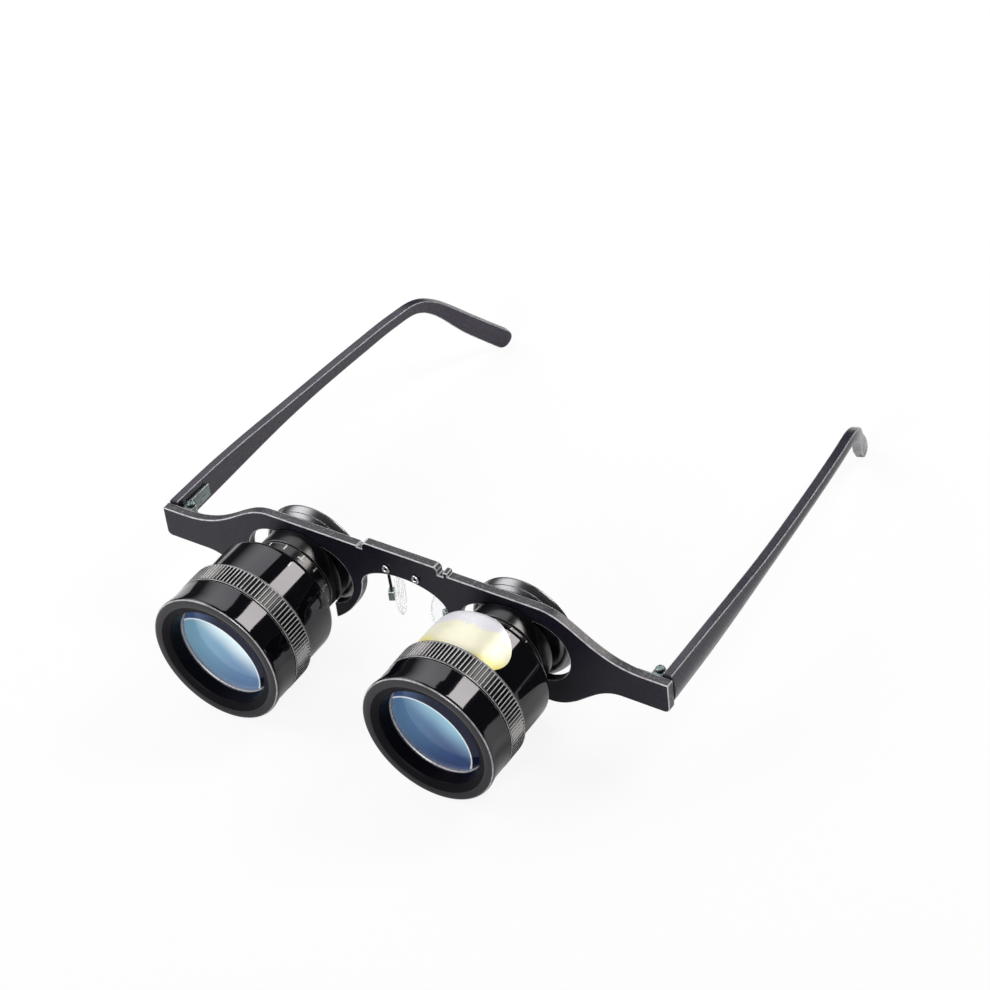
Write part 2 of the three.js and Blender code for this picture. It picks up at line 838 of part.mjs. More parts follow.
place("nose_bracket", noseBracket(), "steel");
for (const { name, sign } of sides) {
  place(`${name}_rivet`, rivet(), "steel", (sign * rivetSpacing) / 2, 0, rivetHeight);
  place(`${name}_nose_arm`, noseArm(sign), "steel");
  place(`${name}_pad_box`, padBox(sign), "steel");
  place(`${name}_nose_pad`, nosePad(sign), "silicone");
}

function boxOf(meshes) {
  glasses.updateMatrixWorld(true);
  const box = new THREE.Box3();
  for (const mesh of meshes) box.expandByObject(mesh, true);
  return box;
}

// Tip the glasses until the rims and the temple tips are level.
const rims = [worn.getObjectByName("left_front_cap")];
const tips = [worn.getObjectByName("left_temple")];
let flattest = 0;
let steepest = steepestTilt * degrees;
for (let round = 0; round < tiltRounds; round += 1) {
  worn.rotation.x = (flattest + steepest) / 2;
  if (boxOf(tips).min.z < boxOf(rims).min.z) flattest = worn.rotation.x;
  else steepest = worn.rotation.x;
}

// Stand them on z = 0, with the middle of their box over the origin.
const bounds = boxOf(worn.children);
const middle = bounds.getCenter(new THREE.Vector3());
glasses.position.set(-middle.x, -middle.y, -bounds.min.z);
glasses.updateMatrixWorld(true);

export default glasses;
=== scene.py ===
import json
from bisect import bisect_left
from math import acos, atan2, cos, pi, radians, sin
import bmesh
import bpy
from mathutils import Matrix, Vector
from mathutils.geometry import interpolate_bezier


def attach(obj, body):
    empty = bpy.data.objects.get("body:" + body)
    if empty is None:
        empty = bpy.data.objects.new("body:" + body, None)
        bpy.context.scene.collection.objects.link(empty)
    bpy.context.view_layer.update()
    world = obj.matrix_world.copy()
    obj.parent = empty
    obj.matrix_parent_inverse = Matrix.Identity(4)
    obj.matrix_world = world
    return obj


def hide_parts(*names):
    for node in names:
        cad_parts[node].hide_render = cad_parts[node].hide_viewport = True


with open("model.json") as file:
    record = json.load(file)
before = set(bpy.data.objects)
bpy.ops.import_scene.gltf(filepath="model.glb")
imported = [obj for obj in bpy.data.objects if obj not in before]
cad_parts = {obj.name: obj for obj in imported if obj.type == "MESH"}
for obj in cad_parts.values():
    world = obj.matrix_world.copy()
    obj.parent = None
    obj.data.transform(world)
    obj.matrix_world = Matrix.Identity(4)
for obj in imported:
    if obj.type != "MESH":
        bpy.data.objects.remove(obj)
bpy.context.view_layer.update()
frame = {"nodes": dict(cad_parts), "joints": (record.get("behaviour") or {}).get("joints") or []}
mm = 0.001
sideSigns = {"left": -1, "right": 1}

# Pieces are drawn in the wearing frame, in millimetres: y = 0 on the front face of
# the plate, z = 0 on the telescope axes. The focus joint tells where that frame lies.
focusJoint = next(j for j in frame["joints"] if j["name"] == "right_focus_turn")
eyeHalfDistance = focusJoint["pos_m"][0] / mm
focusSetback = 20
restTilt = atan2(-focusJoint["axis"][2], -focusJoint["axis"][1])
wornToRest = (
    Matrix.Translation(focusJoint["pos_m"])
    @ Matrix.Rotation(restTilt, 4, "X")
    @ Matrix.Translation((-eyeHalfDistance * mm, focusSetback * mm, 0))
    @ Matrix.Diagonal((mm, mm, mm, 1))
)


# Camera

cameraView = {
    "azimuth": 34.623,           # degrees round from straight in front
    "elevation": 36.404,
    "roll": -3.921,
    "distance": 0.76765,         # metres to the target
    "target": (0.033445, -0.055987, 0.072063),
    "lens": 112.6,               # millimetres on a 36 mm sensor
}


def makeCamera():
    turn = radians(cameraView["azimuth"])
    rise = radians(cameraView["elevation"])
    back = Vector((sin(turn) * cos(rise), -cos(turn) * cos(rise), sin(rise)))
    right = Vector((cos(turn), sin(turn), 0))
    up = back.cross(right)
    pose = Matrix((right, up, back)).transposed().to_4x4()
    pose = pose @ Matrix.Rotation(radians(cameraView["roll"]), 4, "Z")
    pose.translation = Vector(cameraView["target"]) + back * cameraView["distance"]
    data = bpy.data.cameras.new("photoCamera")
    data.lens = cameraView["lens"]
    data.sensor_width = 36
    data.clip_start = 0.01
    camera = bpy.data.objects.new("photoCamera", data)
    camera.matrix_world = pose
    bpy.context.scene.collection.objects.link(camera)
    bpy.context.scene.camera = camera


makeCamera()
print("camera ready")


# Shader helpers and the two shared groups

noiseRange = (0.3, 0.7)          # where most of a noise's values lie


def newGroup(name, inputs, outputs):
    tree = bpy.data.node_groups.new(name, "ShaderNodeTree")
    kinds = {"colour": "NodeSocketColor", "number": "NodeSocketFloat"}
    for label, kind, value in inputs:
        socket = tree.interface.new_socket(label, in_out="INPUT", socket_type=kinds[kind])
        socket.default_value = value
    for label, kind in outputs:
        tree.interface.new_socket(label, in_out="OUTPUT", socket_type=kinds[kind])
    return tree, tree.nodes.new("NodeGroupInput"), tree.nodes.new("NodeGroupOutput")


def addMath(tree, operation, first, second):
    node = tree.nodes.new("ShaderNodeMath")
    node.operation = operation
    for socket, value in zip(node.inputs, (first, second)):
        if isinstance(value, (int, float)):
            socket.default_value = value
        else:
            tree.links.new(value, socket)
    return node.outputs[0]


def addRange(tree, value, low, high, toLow=0.0, toHigh=1.0):
    node = tree.nodes.new("ShaderNodeMapRange")
    node.interpolation_type = "SMOOTHSTEP"
    tree.links.new(value, node.inputs["Value"])
    node.inputs["From Min"].default_value = low
    node.inputs["From Max"].default_value = high
    node.inputs["To Min"].default_value = toLow
    node.inputs["To Max"].default_value = toHigh
    return node.outputs["Result"]


def addMix(tree, share, first, second):
    node = tree.nodes.new("ShaderNodeMix")
    node.data_type = "RGBA"
    sockets = (node.inputs[0], node.inputs[6], node.inputs[7])       # factor and the two colours
    for socket, value in zip(sockets, (share, first, second)):
        if isinstance(value, (int, float, tuple)):
            socket.default_value = value
        else:
            tree.links.new(value, socket)
    return node.outputs[2]


def addNoise(tree, vector, scale, detail):
    node = tree.nodes.new("ShaderNodeTexNoise")
    node.inputs["Detail"].default_value = detail
    tree.links.new(vector, node.inputs["Vector"])
    if isinstance(scale, (int, float)):
        node.inputs["Scale"].default_value = scale
    else:
        tree.links.new(scale, node.inputs["Scale"])
    return node.outputs["Fac"]


# A value that a noise moves up and down
def addDrift(tree, value, noise, amount):
    centred = addMath(tree, "SUBTRACT", noise, 0.5)
    return addMath(tree, "ADD", value, addMath(tree, "MULTIPLY", centred, amount))


# Gloss that a noise makes uneven between two roughnesses
def addSmear(tree, noise, low, high, shader):
    tree.links.new(addRange(tree, noise, *noiseRange, low, high), shader.inputs["Roughness"])


def addBump(tree, height, strength, depth, shader):
    bump = tree.nodes.new("ShaderNodeBump")
    bump.inputs["Strength"].default_value = strength
    bump.inputs["Distance"].default_value = depth
    tree.links.new(height, bump.inputs["Height"])
    tree.links.new(bump.outputs["Normal"], shader.inputs["Normal"])


# Object coordinates centred on a place of the wearing frame, turned with it and scaled so
# that the given size is one
def addPlacedPattern(tree, centre, turn, size):
    mapping = tree.nodes.new("ShaderNodeMapping")
    mapping.vector_type = "TEXTURE"
    mapping.inputs["Location"].default_value = wornToRest @ Vector(centre)
    mapping.inputs["Rotation"].default_value = (restTilt, turn, 0)
    mapping.inputs["Scale"].default_value = (size * mm, size * mm, size * mm)
    tree.links.new(tree.nodes.new("ShaderNodeTexCoord").outputs["Object"], mapping.inputs["Vector"])
    split = tree.nodes.new("ShaderNodeSeparateXYZ")
    tree.links.new(mapping.outputs["Vector"], split.inputs["Vector"])
    return mapping.outputs["Vector"], split.outputs


grainShape = {"fleckRange": (0.52, 0.72), "broadScale": 0.06, "spreadGain": 4.0}
wearShape = {"patchRange": (0.3, 0.55), "leastPatch": 0.6, "rougher": 0.15}


# Moulded or painted grain: flecks of a second colour, uneven gloss and a fine height
def makeGrainGroup():
    tree, given, result = newGroup(
        "surfaceGrain",
        [("Colour", "colour", (0.01, 0.01, 0.01, 1)), ("Fleck Colour", "colour", (0.1, 0.1, 0.1, 1)),
         ("Fleck Amount", "number", 0.3), ("Scale", "number", 1200.0),
         ("Roughness", "number", 0.3), ("Roughness Spread", "number", 0.05)],
        [("Colour", "colour"), ("Roughness", "number"), ("Height", "number")],
    )
    place = tree.nodes.new("ShaderNodeTexCoord").outputs["Object"]
    fine = addNoise(tree, place, given.outputs["Scale"], 4.0)
    broadScale = addMath(tree, "MULTIPLY", given.outputs["Scale"], grainShape["broadScale"])
    broad = addNoise(tree, place, broadScale, 2.0)
    flecks = addRange(tree, fine, *grainShape["fleckRange"])
    share = addMath(tree, "MULTIPLY", flecks, given.outputs["Fleck Amount"])
    colour = addMix(tree, share, given.outputs["Colour"], given.outputs["Fleck Colour"])
    spread = addMath(tree, "MULTIPLY", given.outputs["Roughness Spread"], grainShape["spreadGain"])
    roughness = addDrift(tree, given.outputs["Roughness"], broad, spread)
    tree.links.new(colour, result.inputs["Colour"])
    tree.links.new(roughness, result.inputs["Roughness"])
    tree.links.new(fine, result.inputs["Height"])
    return tree


# Wear along the rounded edges, where a finish goes first: a pale line of uneven strength. It is partly real
# wear and partly a painted highlight, kept nearly unbroken so that it reads as light along the edges.
def makeWearGroup():
    tree, given, result = newGroup(
        "edgeWearAndPaintedHighlight",
        [("Colour", "colour", (0.01, 0.01, 0.01, 1)), ("Wear Colour", "colour", (0.3, 0.3, 0.3, 1)),
         ("Amount", "number", 0.5), ("Breakup", "number", 400.0), ("Roughness", "number", 0.3)],
        [("Colour", "colour"), ("Roughness", "number")],
    )
    place = tree.nodes.new("ShaderNodeTexCoord").outputs["Object"]
    breaks = addNoise(tree, place, given.outputs["Breakup"], 3.0)
    patches = addRange(tree, breaks, *wearShape["patchRange"], wearShape["leastPatch"], 1.0)
    wear = addMath(tree, "MULTIPLY", patches, given.outputs["Amount"])
    colour = addMix(tree, wear, given.outputs["Colour"], given.outputs["Wear Colour"])
    rougher = addMath(tree, "MULTIPLY", wear, wearShape["rougher"])
    roughness = addMath(tree, "ADD", given.outputs["Roughness"], rougher)
    tree.links.new(colour, result.inputs["Colour"])
    tree.links.new(roughness, result.inputs["Roughness"])
    return tree


grainGroup = makeGrainGroup()
wearAndHighlightGroup = makeWearGroup()


def startMaterial(name, settings):
    material = bpy.data.materials.new(name)
    material.use_nodes = True
    shader = material.node_tree.nodes["Principled BSDF"]
    for socket, value in settings.items():
        shader.inputs[socket].default_value = value
    return material, material.node_tree, shader


def placeGroup(tree, group, values):
    node = tree.nodes.new("ShaderNodeGroup")
    node.node_tree = group
    for socket, value in values.items():
        node.inputs[socket].default_value = value
    return node


grainSockets = {"Colour": "colour", "Fleck Colour": "fleck", "Fleck Amount": "flecks", "Scale": "scale",
                "Roughness": "roughness", "Roughness Spread": "spread"}
wearSockets = {"Wear Colour": "worn", "Amount": "wear", "Breakup": "breakup"}


# One coated, moulded or painted finish, as it is on faces or as it is on worn edges, where its pale line is
# partly wear and partly painted highlight
def makeFinish(name, look, onEdge):
    material, tree, shader = startMaterial(name, look["shader"])
    grain = placeGroup(tree, grainGroup, {socket: look[key] for socket, key in grainSockets.items()})
    addBump(tree, grain.outputs["Height"], look["bump"], look["bumpDepth"], shader)
    given = grain
    if onEdge:
        given = placeGroup(tree, wearAndHighlightGroup, {socket: look[key] for socket, key in wearSockets.items()})
        tree.links.new(grain.outputs["Colour"], given.inputs["Colour"])
        tree.links.new(grain.outputs["Roughness"], given.inputs["Roughness"])
    tree.links.new(given.outputs["Colour"], shader.inputs["Base Color"])
    tree.links.new(given.outputs["Roughness"], shader.inputs["Roughness"])
    return material


# A finish says only what differs from the plain one
plainFinish = {
    "flecks": 0.3, "scale": 2600.0, "spread": 0.08, "worn": (0.75, 0.75, 0.75, 1), "wear": 0.5,
    "breakup": 500.0, "bump": 0.1, "bumpDepth": 0.00003, "shader": {"IOR": 1.45},
}
finishLooks = {
    "plateBlack": {
        "colour": (0.006, 0.005, 0.010, 1), "fleck": (0.05, 0.048, 0.06, 1), "flecks": 0.35,
        "roughness": 0.34, "worn": (0.8, 0.8, 0.82, 1), "wear": 0.65, "bump": 0.3, "bumpDepth": 0.00006,
        "shader": {"IOR": 1.45, "Specular IOR Level": 0.42, "Specular Tint": (0.93, 0.9, 1.0, 1)},
    },
    # Painted light: a lighter copy of plateBlack for the plate's sides and top, standing in for light
    # falling on them from above
    "plateSidePaintedLight": {
        "colour": (0.03, 0.0295, 0.034, 1), "fleck": (0.2, 0.2, 0.21, 1), "flecks": 0.6, "scale": 1500.0,
        "roughness": 0.34, "worn": (0.7, 0.7, 0.72, 1), "wear": 0.4, "bump": 0.3, "bumpDepth": 0.00006,
    },
    "templeBlack": {
        "colour": (0.018, 0.017, 0.025, 1), "fleck": (0.10, 0.098, 0.12, 1), "flecks": 0.4, "scale": 2000.0,
        "roughness": 0.27, "spread": 0.06, "worn": (0.7, 0.7, 0.72, 1), "bump": 0.15, "bumpDepth": 0.00006,
        "shader": {"IOR": 1.48, "Specular Tint": (0.94, 0.9, 1.0, 1)},
    },
    "barrelBlack": {
        "colour": (0.002, 0.0018, 0.003, 1), "fleck": (0.012, 0.012, 0.014, 1), "flecks": 0.2,
        "scale": 1800.0, "roughness": 0.06, "spread": 0.02, "bump": 0.012,
        "shader": {"IOR": 1.52, "Specular Tint": (0.97, 0.95, 1.0, 1)},
    },
    "knurlBlack": {
        "colour": (0.002, 0.002, 0.003, 1), "fleck": (0.02, 0.02, 0.022, 1), "flecks": 0.2,
        "scale": 1800.0, "roughness": 0.25, "spread": 0.03, "wear": 0.75, "breakup": 300.0, "bump": 0.04,
        "shader": {"IOR": 1.5},
    },
    "baffleBlack": {
        "colour": (0.002, 0.0015, 0.003, 1), "fleck": (0.01, 0.009, 0.012, 1), "scale": 3000.0,
        "roughness": 0.4, "spread": 0.06, "worn": (0.03, 0.03, 0.03, 1), "wear": 0.2, "breakup": 600.0,
        "bump": 0.2, "bumpDepth": 0.00004, "shader": {"IOR": 1.3, "Specular IOR Level": 0.2},
    },
    "neckBlack": {
        "colour": (0.006, 0.006, 0.007, 1), "fleck": (0.04, 0.04, 0.042, 1), "roughness": 0.22,
        "spread": 0.05, "worn": (0.5, 0.5, 0.5, 1), "wear": 0.2, "breakup": 700.0, "bump": 0.12,
        "bumpDepth": 0.00004, "shader": {"IOR": 1.5},
    },
    "eyepieceBlack": {
        "colour": (0.008, 0.008, 0.010, 1), "fleck": (0.05, 0.05, 0.055, 1), "flecks": 0.25,
        "scale": 2400.0, "roughness": 0.25, "spread": 0.03, "worn": (0.8, 0.8, 0.82, 1), "wear": 0.4,
        "breakup": 700.0, "bumpDepth": 0.00004, "shader": {"IOR": 2.6},
    },
    "steel": {
        "colour": (0.7, 0.7, 0.71, 1), "fleck": (0.4, 0.4, 0.41, 1), "flecks": 0.4, "scale": 2500.0,
        "roughness": 0.3, "worn": (0.85, 0.85, 0.86, 1), "breakup": 700.0,
        "shader": {"Metallic": 1.0, "Anisotropic": 0.3},
    },
    "ringSilver": {
        "colour": (0.5, 0.5, 0.53, 1), "fleck": (0.2, 0.2, 0.22, 1), "flecks": 0.7, "scale": 1500.0,
        "roughness": 0.5, "worn": (0.85, 0.85, 0.86, 1), "breakup": 700.0, "shader": {"Metallic": 0.6},
    },
    "hingeSteel": {
        "colour": (0.19, 0.235, 0.23, 1), "fleck": (0.04, 0.045, 0.045, 1), "flecks": 0.8,
        "scale": 1100.0, "roughness": 0.36, "spread": 0.1, "worn": (0.85, 0.88, 0.88, 1), "wear": 0.9,
        "bump": 0.2, "bumpDepth": 0.00006, "shader": {"Metallic": 1.0, "Anisotropic": 0.3},
    },
    "blackSteel": {
        "colour": (0.012, 0.012, 0.014, 1), "fleck": (0.1, 0.1, 0.105, 1), "flecks": 0.5,
        "scale": 2000.0, "roughness": 0.34, "worn": (0.7, 0.7, 0.7, 1), "wear": 0.6, "breakup": 700.0,
        "bump": 0.15, "bumpDepth": 0.00004, "shader": {"Metallic": 0.7},
    },
    "markWhite": {
        "colour": (0.8, 0.8, 0.78, 1), "fleck": (0.6, 0.6, 0.58, 1), "flecks": 0.4, "scale": 5000.0,
        "roughness": 0.5, "spread": 0.05, "worn": (0.5, 0.5, 0.48, 1), "wear": 0.3, "breakup": 900.0,
        "bumpDepth": 0.00002,
    },
}
finishes = {}
for name, own in finishLooks.items():
    look = {**plainFinish, **own}
    finishes[name] = makeFinish(name, look, onEdge=False)
    finishes[f"{name}Edge"] = makeFinish(f"{name}Edge", look, onEdge=True)
print("finishes ready")


# Coated objective. The deep blue tints are the coating's colour. The run to pale across the glass and the
# lighter upper tint are painted reflection, the dark crescent at the end is painted shade of the cap's
# mouth, and the thin white line before it is a painted highlight.
coatedGlassPaintedLight = {
    "left": {"upper": (0.20, 0.38, 0.52, 1), "lower": (0.15, 0.26, 0.44, 1),
             "pale": (0.80, 0.95, 0.98, 1), "paleRange": (-0.14, 0.36)},
    "right": {"upper": (0.10, 0.20, 0.35, 1), "lower": (0.05, 0.085, 0.21, 1),
              "pale": (0.34, 0.58, 0.70, 1), "paleRange": (-0.18, 0.38)},
    # painted shade: the dark crescent stands in for the shadow of the cap's mouth on the glass
    "shadeCrescent": (0.004, 0.006, 0.024, 1),
    "crescentEnd": (0.05, 0.10, 0.22, 1),
    # painted highlight: a thin white line along the edge of the painted shade
    "line": (0.92, 0.97, 1.0, 1),
    "crescentShift": 0.5,        # shares of the lens radius
    "crescentRadius": 0.835,
    "lineWidth": 0.02,
    "shader": {"Metallic": 0.1, "IOR": 1.5, "Specular IOR Level": 0.28},
    "roughness": (0.07, 0.11),
    # the pale run set below is a painted reflection, not the coating's own colour
    "turn": 54.5,                # degrees, the direction in which the tint runs pale
    "upperRange": (-0.6, 0.5),   # across it, where the lower tint turns into the upper one
    "endRange": (0.3, 0.85),     # and where the crescent gets lighter at its end
    "cloudScale": 1.3,
    "cloudDrift": 0.2,
    "smearScale": 6.0,
}


# Pattern axes: X runs along the tint, Z across it, and one is the lens radius
def makeCoatedGlassPaintedLight(side):
    g = coatedGlassPaintedLight
    tints = g[side]
    material, tree, shader = startMaterial(f"{side}CoatedGlassPaintedLight", g["shader"])
    middle = (sideSigns[side] * eyeHalfDistance, barrel["rimFront"] + barrel["apertureDepth"], 0)
    place, axes = addPlacedPattern(tree, middle, -radians(g["turn"]), barrel["lensRadius"])
    along = addDrift(tree, axes["X"], addNoise(tree, place, g["cloudScale"], 1.0), g["cloudDrift"])
    # Painted reflection: the tint turns lighter towards the top and pale along the glass
    toUpper = addRange(tree, axes["Z"], *g["upperRange"])
    toPaintedReflection = addRange(tree, along, *tints["paleRange"])
    colour = addMix(tree, toUpper, tints["lower"], tints["upper"])
    colour = addMix(tree, toPaintedReflection, colour, tints["pale"])
    # Painted shade and painted highlight: a dark crescent beyond a ring round a point off the axis, with a
    # white line on the ring
    shifted = addMath(tree, "ADD", axes["X"], g["crescentShift"])
    acrossSquared = addMath(tree, "MULTIPLY", axes["Z"], axes["Z"])
    alongSquared = addMath(tree, "MULTIPLY", shifted, shifted)
    squared = addMath(tree, "ADD", acrossSquared, alongSquared)
    fromShifted = addMath(tree, "SQRT", squared, 0.0)
    edge = g["crescentRadius"]
    line = g["lineWidth"]
    onPaintedHighlight = addRange(tree, fromShifted, edge - 2 * line, edge - line)
    inShadeCrescent = addRange(tree, fromShifted, edge - line, edge)
    toEnd = addRange(tree, axes["Z"], *g["endRange"])
    shadeCrescent = addMix(tree, toEnd, g["shadeCrescent"], g["crescentEnd"])
    colour = addMix(tree, onPaintedHighlight, colour, g["line"])
    colour = addMix(tree, inShadeCrescent, colour, shadeCrescent)
    tree.links.new(colour, shader.inputs["Base Color"])
    addSmear(tree, addNoise(tree, place, g["smearScale"], 3.0), *g["roughness"], shader)
    return material


# Clear pieces, with a little dust or haze and uneven gloss
clearLooks = {
    "clearGlass": {
        "shader": {"Transmission Weight": 1.0, "IOR": 1.52},
        "tint": (0.90, 0.95, 0.97, 1), "dust": (0.7, 0.76, 0.8, 1), "dustScale": 900.0, "dustDetail": 4.0,
        "dustRange": (0.62, 0.8), "dustAmount": 0.15,
        "smearScale": 120.0, "smearDetail": 2.0, "roughness": (0.01, 0.03),
    },
    "clearSilicone": {
        "shader": {"Transmission Weight": 0.95, "IOR": 1.25, "Alpha": 0.45},
        "tint": (0.97, 0.98, 1.0, 1), "dust": (0.9, 0.92, 0.97, 1), "dustScale": 260.0, "dustDetail": 3.0,
        "dustRange": (0.35, 0.7), "dustAmount": 1.0,
        "smearScale": 2500.0, "smearDetail": 3.0, "roughness": (0.08, 0.12),
    },
}


def makeClear(name, look):
    material, tree, shader = startMaterial(name, look["shader"])
    place = tree.nodes.new("ShaderNodeTexCoord").outputs["Object"]
    specks = addNoise(tree, place, look["dustScale"], look["dustDetail"])
    dust = addRange(tree, specks, *look["dustRange"], 0.0, look["dustAmount"])
    tree.links.new(addMix(tree, dust, look["tint"], look["dust"]), shader.inputs["Base Color"])
    smear = addNoise(tree, place, look["smearScale"], look["smearDetail"])
    addSmear(tree, smear, *look["roughness"], shader)
    return material


for name, look in clearLooks.items():
    finishes[name] = makeClear(name, look)


labelSizes = {
    "middle": -19.3, "length": 19.4,
    "halfAngle": 49, "middleAngle": 97,      # degrees round the drum, from the wearer's right
    "lift": 0.05, "thickness": 0.15, "rings": 24, "steps": 96,
}
foil = {
    "shader": {"Metallic": 0.15, "IOR": 1.5},
    "white": (0.69, 0.69, 0.73, 1),
    "gold": (0.86, 0.76, 0.09, 1),
    "cream": (0.82, 0.80, 0.60, 1),
    "fleck": (0.86, 0.86, 0.84, 1),
    "creamRange": (-1.1, -0.5), "whiteRange": (0.35, 0.6), "sideShare": 0.55,
    "cloudScale": 2.4, "cloudDrift": 0.7,
    "flakeScale": 1500.0, "flakeRange": (0.58, 0.66), "flakeShare": 0.6,
    "roughness": (0.3, 0.42), "bump": 0.2, "bumpDepth": 0.00003,
}


# Bare foil label: white towards the rear, gold towards the knurl, with bright flakes.
def makeFoil():
    material, tree, shader = startMaterial("labelFoil", foil["shader"])
    middle = (eyeHalfDistance, labelSizes["middle"], 0)
    onLabel, axes = addPlacedPattern(tree, middle, 0, labelSizes["length"] / 2)
    cloud = addNoise(tree, onLabel, foil["cloudScale"], 3.0)
    along = addDrift(tree, axes["Y"], cloud, foil["cloudDrift"])
    aside = addMath(tree, "ABSOLUTE", axes["X"], 0.0)
    sideways = addMath(tree, "MULTIPLY", aside, foil["sideShare"])
    fromFront = addMath(tree, "SUBTRACT", along, sideways)
    toCream = addRange(tree, fromFront, *foil["creamRange"])
    toWhite = addRange(tree, along, *foil["whiteRange"])
    colour = addMix(tree, toCream, foil["gold"], foil["cream"])
    colour = addMix(tree, toWhite, colour, foil["white"])
    place = tree.nodes.new("ShaderNodeTexCoord").outputs["Object"]
    fine = addNoise(tree, place, foil["flakeScale"], 2.0)
    flakes = addRange(tree, fine, *foil["flakeRange"])
    bright = addMath(tree, "MULTIPLY", flakes, foil["flakeShare"])
    colour = addMix(tree, bright, colour, foil["fleck"])
    tree.links.new(colour, shader.inputs["Base Color"])
    addSmear(tree, cloud, *foil["roughness"], shader)
    addBump(tree, flakes, foil["bump"], foil["bumpDepth"], shader)
    return material


# Mesh helpers

doubleDistance = 0.0005          # millimetres, points that are nearer to each other are one
slack = 0.01                     # millimetres, in tests on where a face lies


def turned(profile, steps=160, closed=True):
    bm = bmesh.new()
    verts = [bm.verts.new((radius, y, 0)) for radius, y in profile]
    edges = [bm.edges.new(pair) for pair in zip(verts, verts[1:])]
    if closed:
        edges.append(bm.edges.new((verts[-1], verts[0])))
    bmesh.ops.spin(
        bm, geom=verts + edges, cent=(0, 0, 0), axis=(0, 1, 0),
        angle=2 * pi, steps=steps, use_merge=True,
    )
    bmesh.ops.remove_doubles(bm, verts=bm.verts, dist=doubleDistance)
    bmesh.ops.recalc_face_normals(bm, faces=bm.faces)
    return bm


def arcPoints(centre, radius, start, end, steps=6):
    angles = [radians(start + (end - start) * i / steps) for i in range(steps + 1)]
    return [(centre[0] + radius * cos(a), centre[1] + radius * sin(a)) for a in angles]


# Points of a rounded corner between two straight stretches of a profile
def softCorner(before, corner, after, reach, steps=5):
    corner = Vector((*corner, 0))
    start = corner + (Vector((*before, 0)) - corner).normalized() * reach
    end = corner + (Vector((*after, 0)) - corner).normalized() * reach
    return [(p.x, p.y) for p in interpolate_bezier(start, corner, corner, end, steps)]


# One face of a lens, from its axis to its edge, that rises in the middle
def lensFace(radius, y, rise, rings):
    return [(radius * i / rings, y + rise * (1 - (i / rings) ** 2)) for i in range(rings + 1)]


def axisDistance(point):
    return Vector((point.x, 0, point.z)).length


def newVerts(made):
    return [item for item in made["geom"] if isinstance(item, bmesh.types.BMVert)]


# Extrudes a loop of edges on the spot and gives its new points and edges
def extrudeLoop(bm, loop):
    made = bmesh.ops.extrude_edge_only(bm, edges=loop)
    verts = newVerts(made)
    edges = [item for item in made["geom"] if isinstance(item, bmesh.types.BMEdge)]
    return verts, [edge for edge in edges if all(v in verts for v in edge.verts)]


def cutPlane(bm, point, normal, clear=False):
    everything = bm.verts[:] + bm.edges[:] + bm.faces[:]
    bmesh.ops.bisect_plane(bm, geom=everything, plane_co=point, plane_no=normal, clear_outer=clear)


def addBox(bm, size, matrix):
    made = bmesh.ops.create_cube(bm, size=1)["verts"]
    bmesh.ops.scale(bm, vec=size, verts=made)
    bmesh.ops.transform(bm, matrix=matrix, verts=made)


edgeRounding = {"segments": 3, "fromAngle": 28, "sharpAngle": 32}


# Puts a mesh in its place with its finish. Where its edges are rounded, the rounding gets the
# worn finish as the last material, whose pale line is partly wear and partly painted highlight.
def finishPiece(name, bm, body, finish, replaced=(), edge=0.0, second=None, place=wornToRest):
    bmesh.ops.transform(bm, matrix=place, verts=bm.verts)
    mesh = bpy.data.meshes.new(name)
    bm.to_mesh(mesh)
    bm.free()
    mesh.shade_smooth()
    mesh.materials.append(finishes[finish])
    if second:
        mesh.materials.append(finishes[second])
    piece = bpy.data.objects.new(name, mesh)
    bpy.context.scene.collection.objects.link(piece)
    if edge:
        rounding = piece.modifiers.new("roundedEdges", "BEVEL")
        rounding.width = edge * mm
        rounding.segments = edgeRounding["segments"]
        rounding.limit_method = "ANGLE"
        rounding.angle_limit = radians(edgeRounding["fromAngle"])
        rounding.harden_normals = True
        if f"{finish}Edge" in finishes:
            mesh.materials.append(finishes[f"{finish}Edge"])
            rounding.material = len(mesh.materials) - 1
    else:
        mesh.set_sharp_from_angle(angle=radians(edgeRounding["sharpAngle"]))
    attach(piece, body)
    if replaced:
        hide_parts(*replaced)


merging = {"distance": 0.000002, "flatAngle": 12, "shapeAngle": 60}


# A CAD part that keeps its shape: its triangles are merged so that its edges can be rounded.
def refineNode(node, name, body, finish, edge):
    bm = bmesh.new()
    bm.from_mesh(frame["nodes"][node].data)
    bmesh.ops.remove_doubles(bm, verts=bm.verts, dist=merging["distance"])
    bmesh.ops.join_triangles(bm, faces=bm.faces, angle_face_threshold=radians(merging["flatAngle"]),
                             angle_shape_threshold=radians(merging["shapeAngle"]))
    finishPiece(name, bm, body, finish, [node], edge, place=Matrix())


# Front plate

plate = {
    "thickness": 2.6, "halfWidth": 79.6, "browHeight": 15, "browHalfSpan": 42,
    "endTop": 3.6, "endBottom": 5.9, "endStraight": 7, "endCorner": 1.6, "lobeDepth": 16.9,
    "bridgeHeight": 16.9, "bridgeHalfWidth": 11, "bridgeChamfer": 0.9,
    "notchWidth": 1.6, "notchDepth": 0.5, "nibWidth": 1.5, "nibHeight": 1.1,
    "archHeight": 8.7, "archHalfWidth": 13.5, "archWaist": 1.5,
    "slotHalfHeight": 9.75, "slotInnerEnd": 17, "slotOuterEnd": 50.6,
    "throatStart": 24.1, "throatWidth": 4.6, "noseTipDepth": 14.6,
    "browHandles": (0.33, 0.52), "lobeHandles": (0.4, 0.42),       # shares of each curve's reach
    "cheekHandles": (0.46, 0.2, 0.06, 0.36), "archHandles": (0.62, 0.5),
    "curveSteps": 28, "edge": 0.32,
}


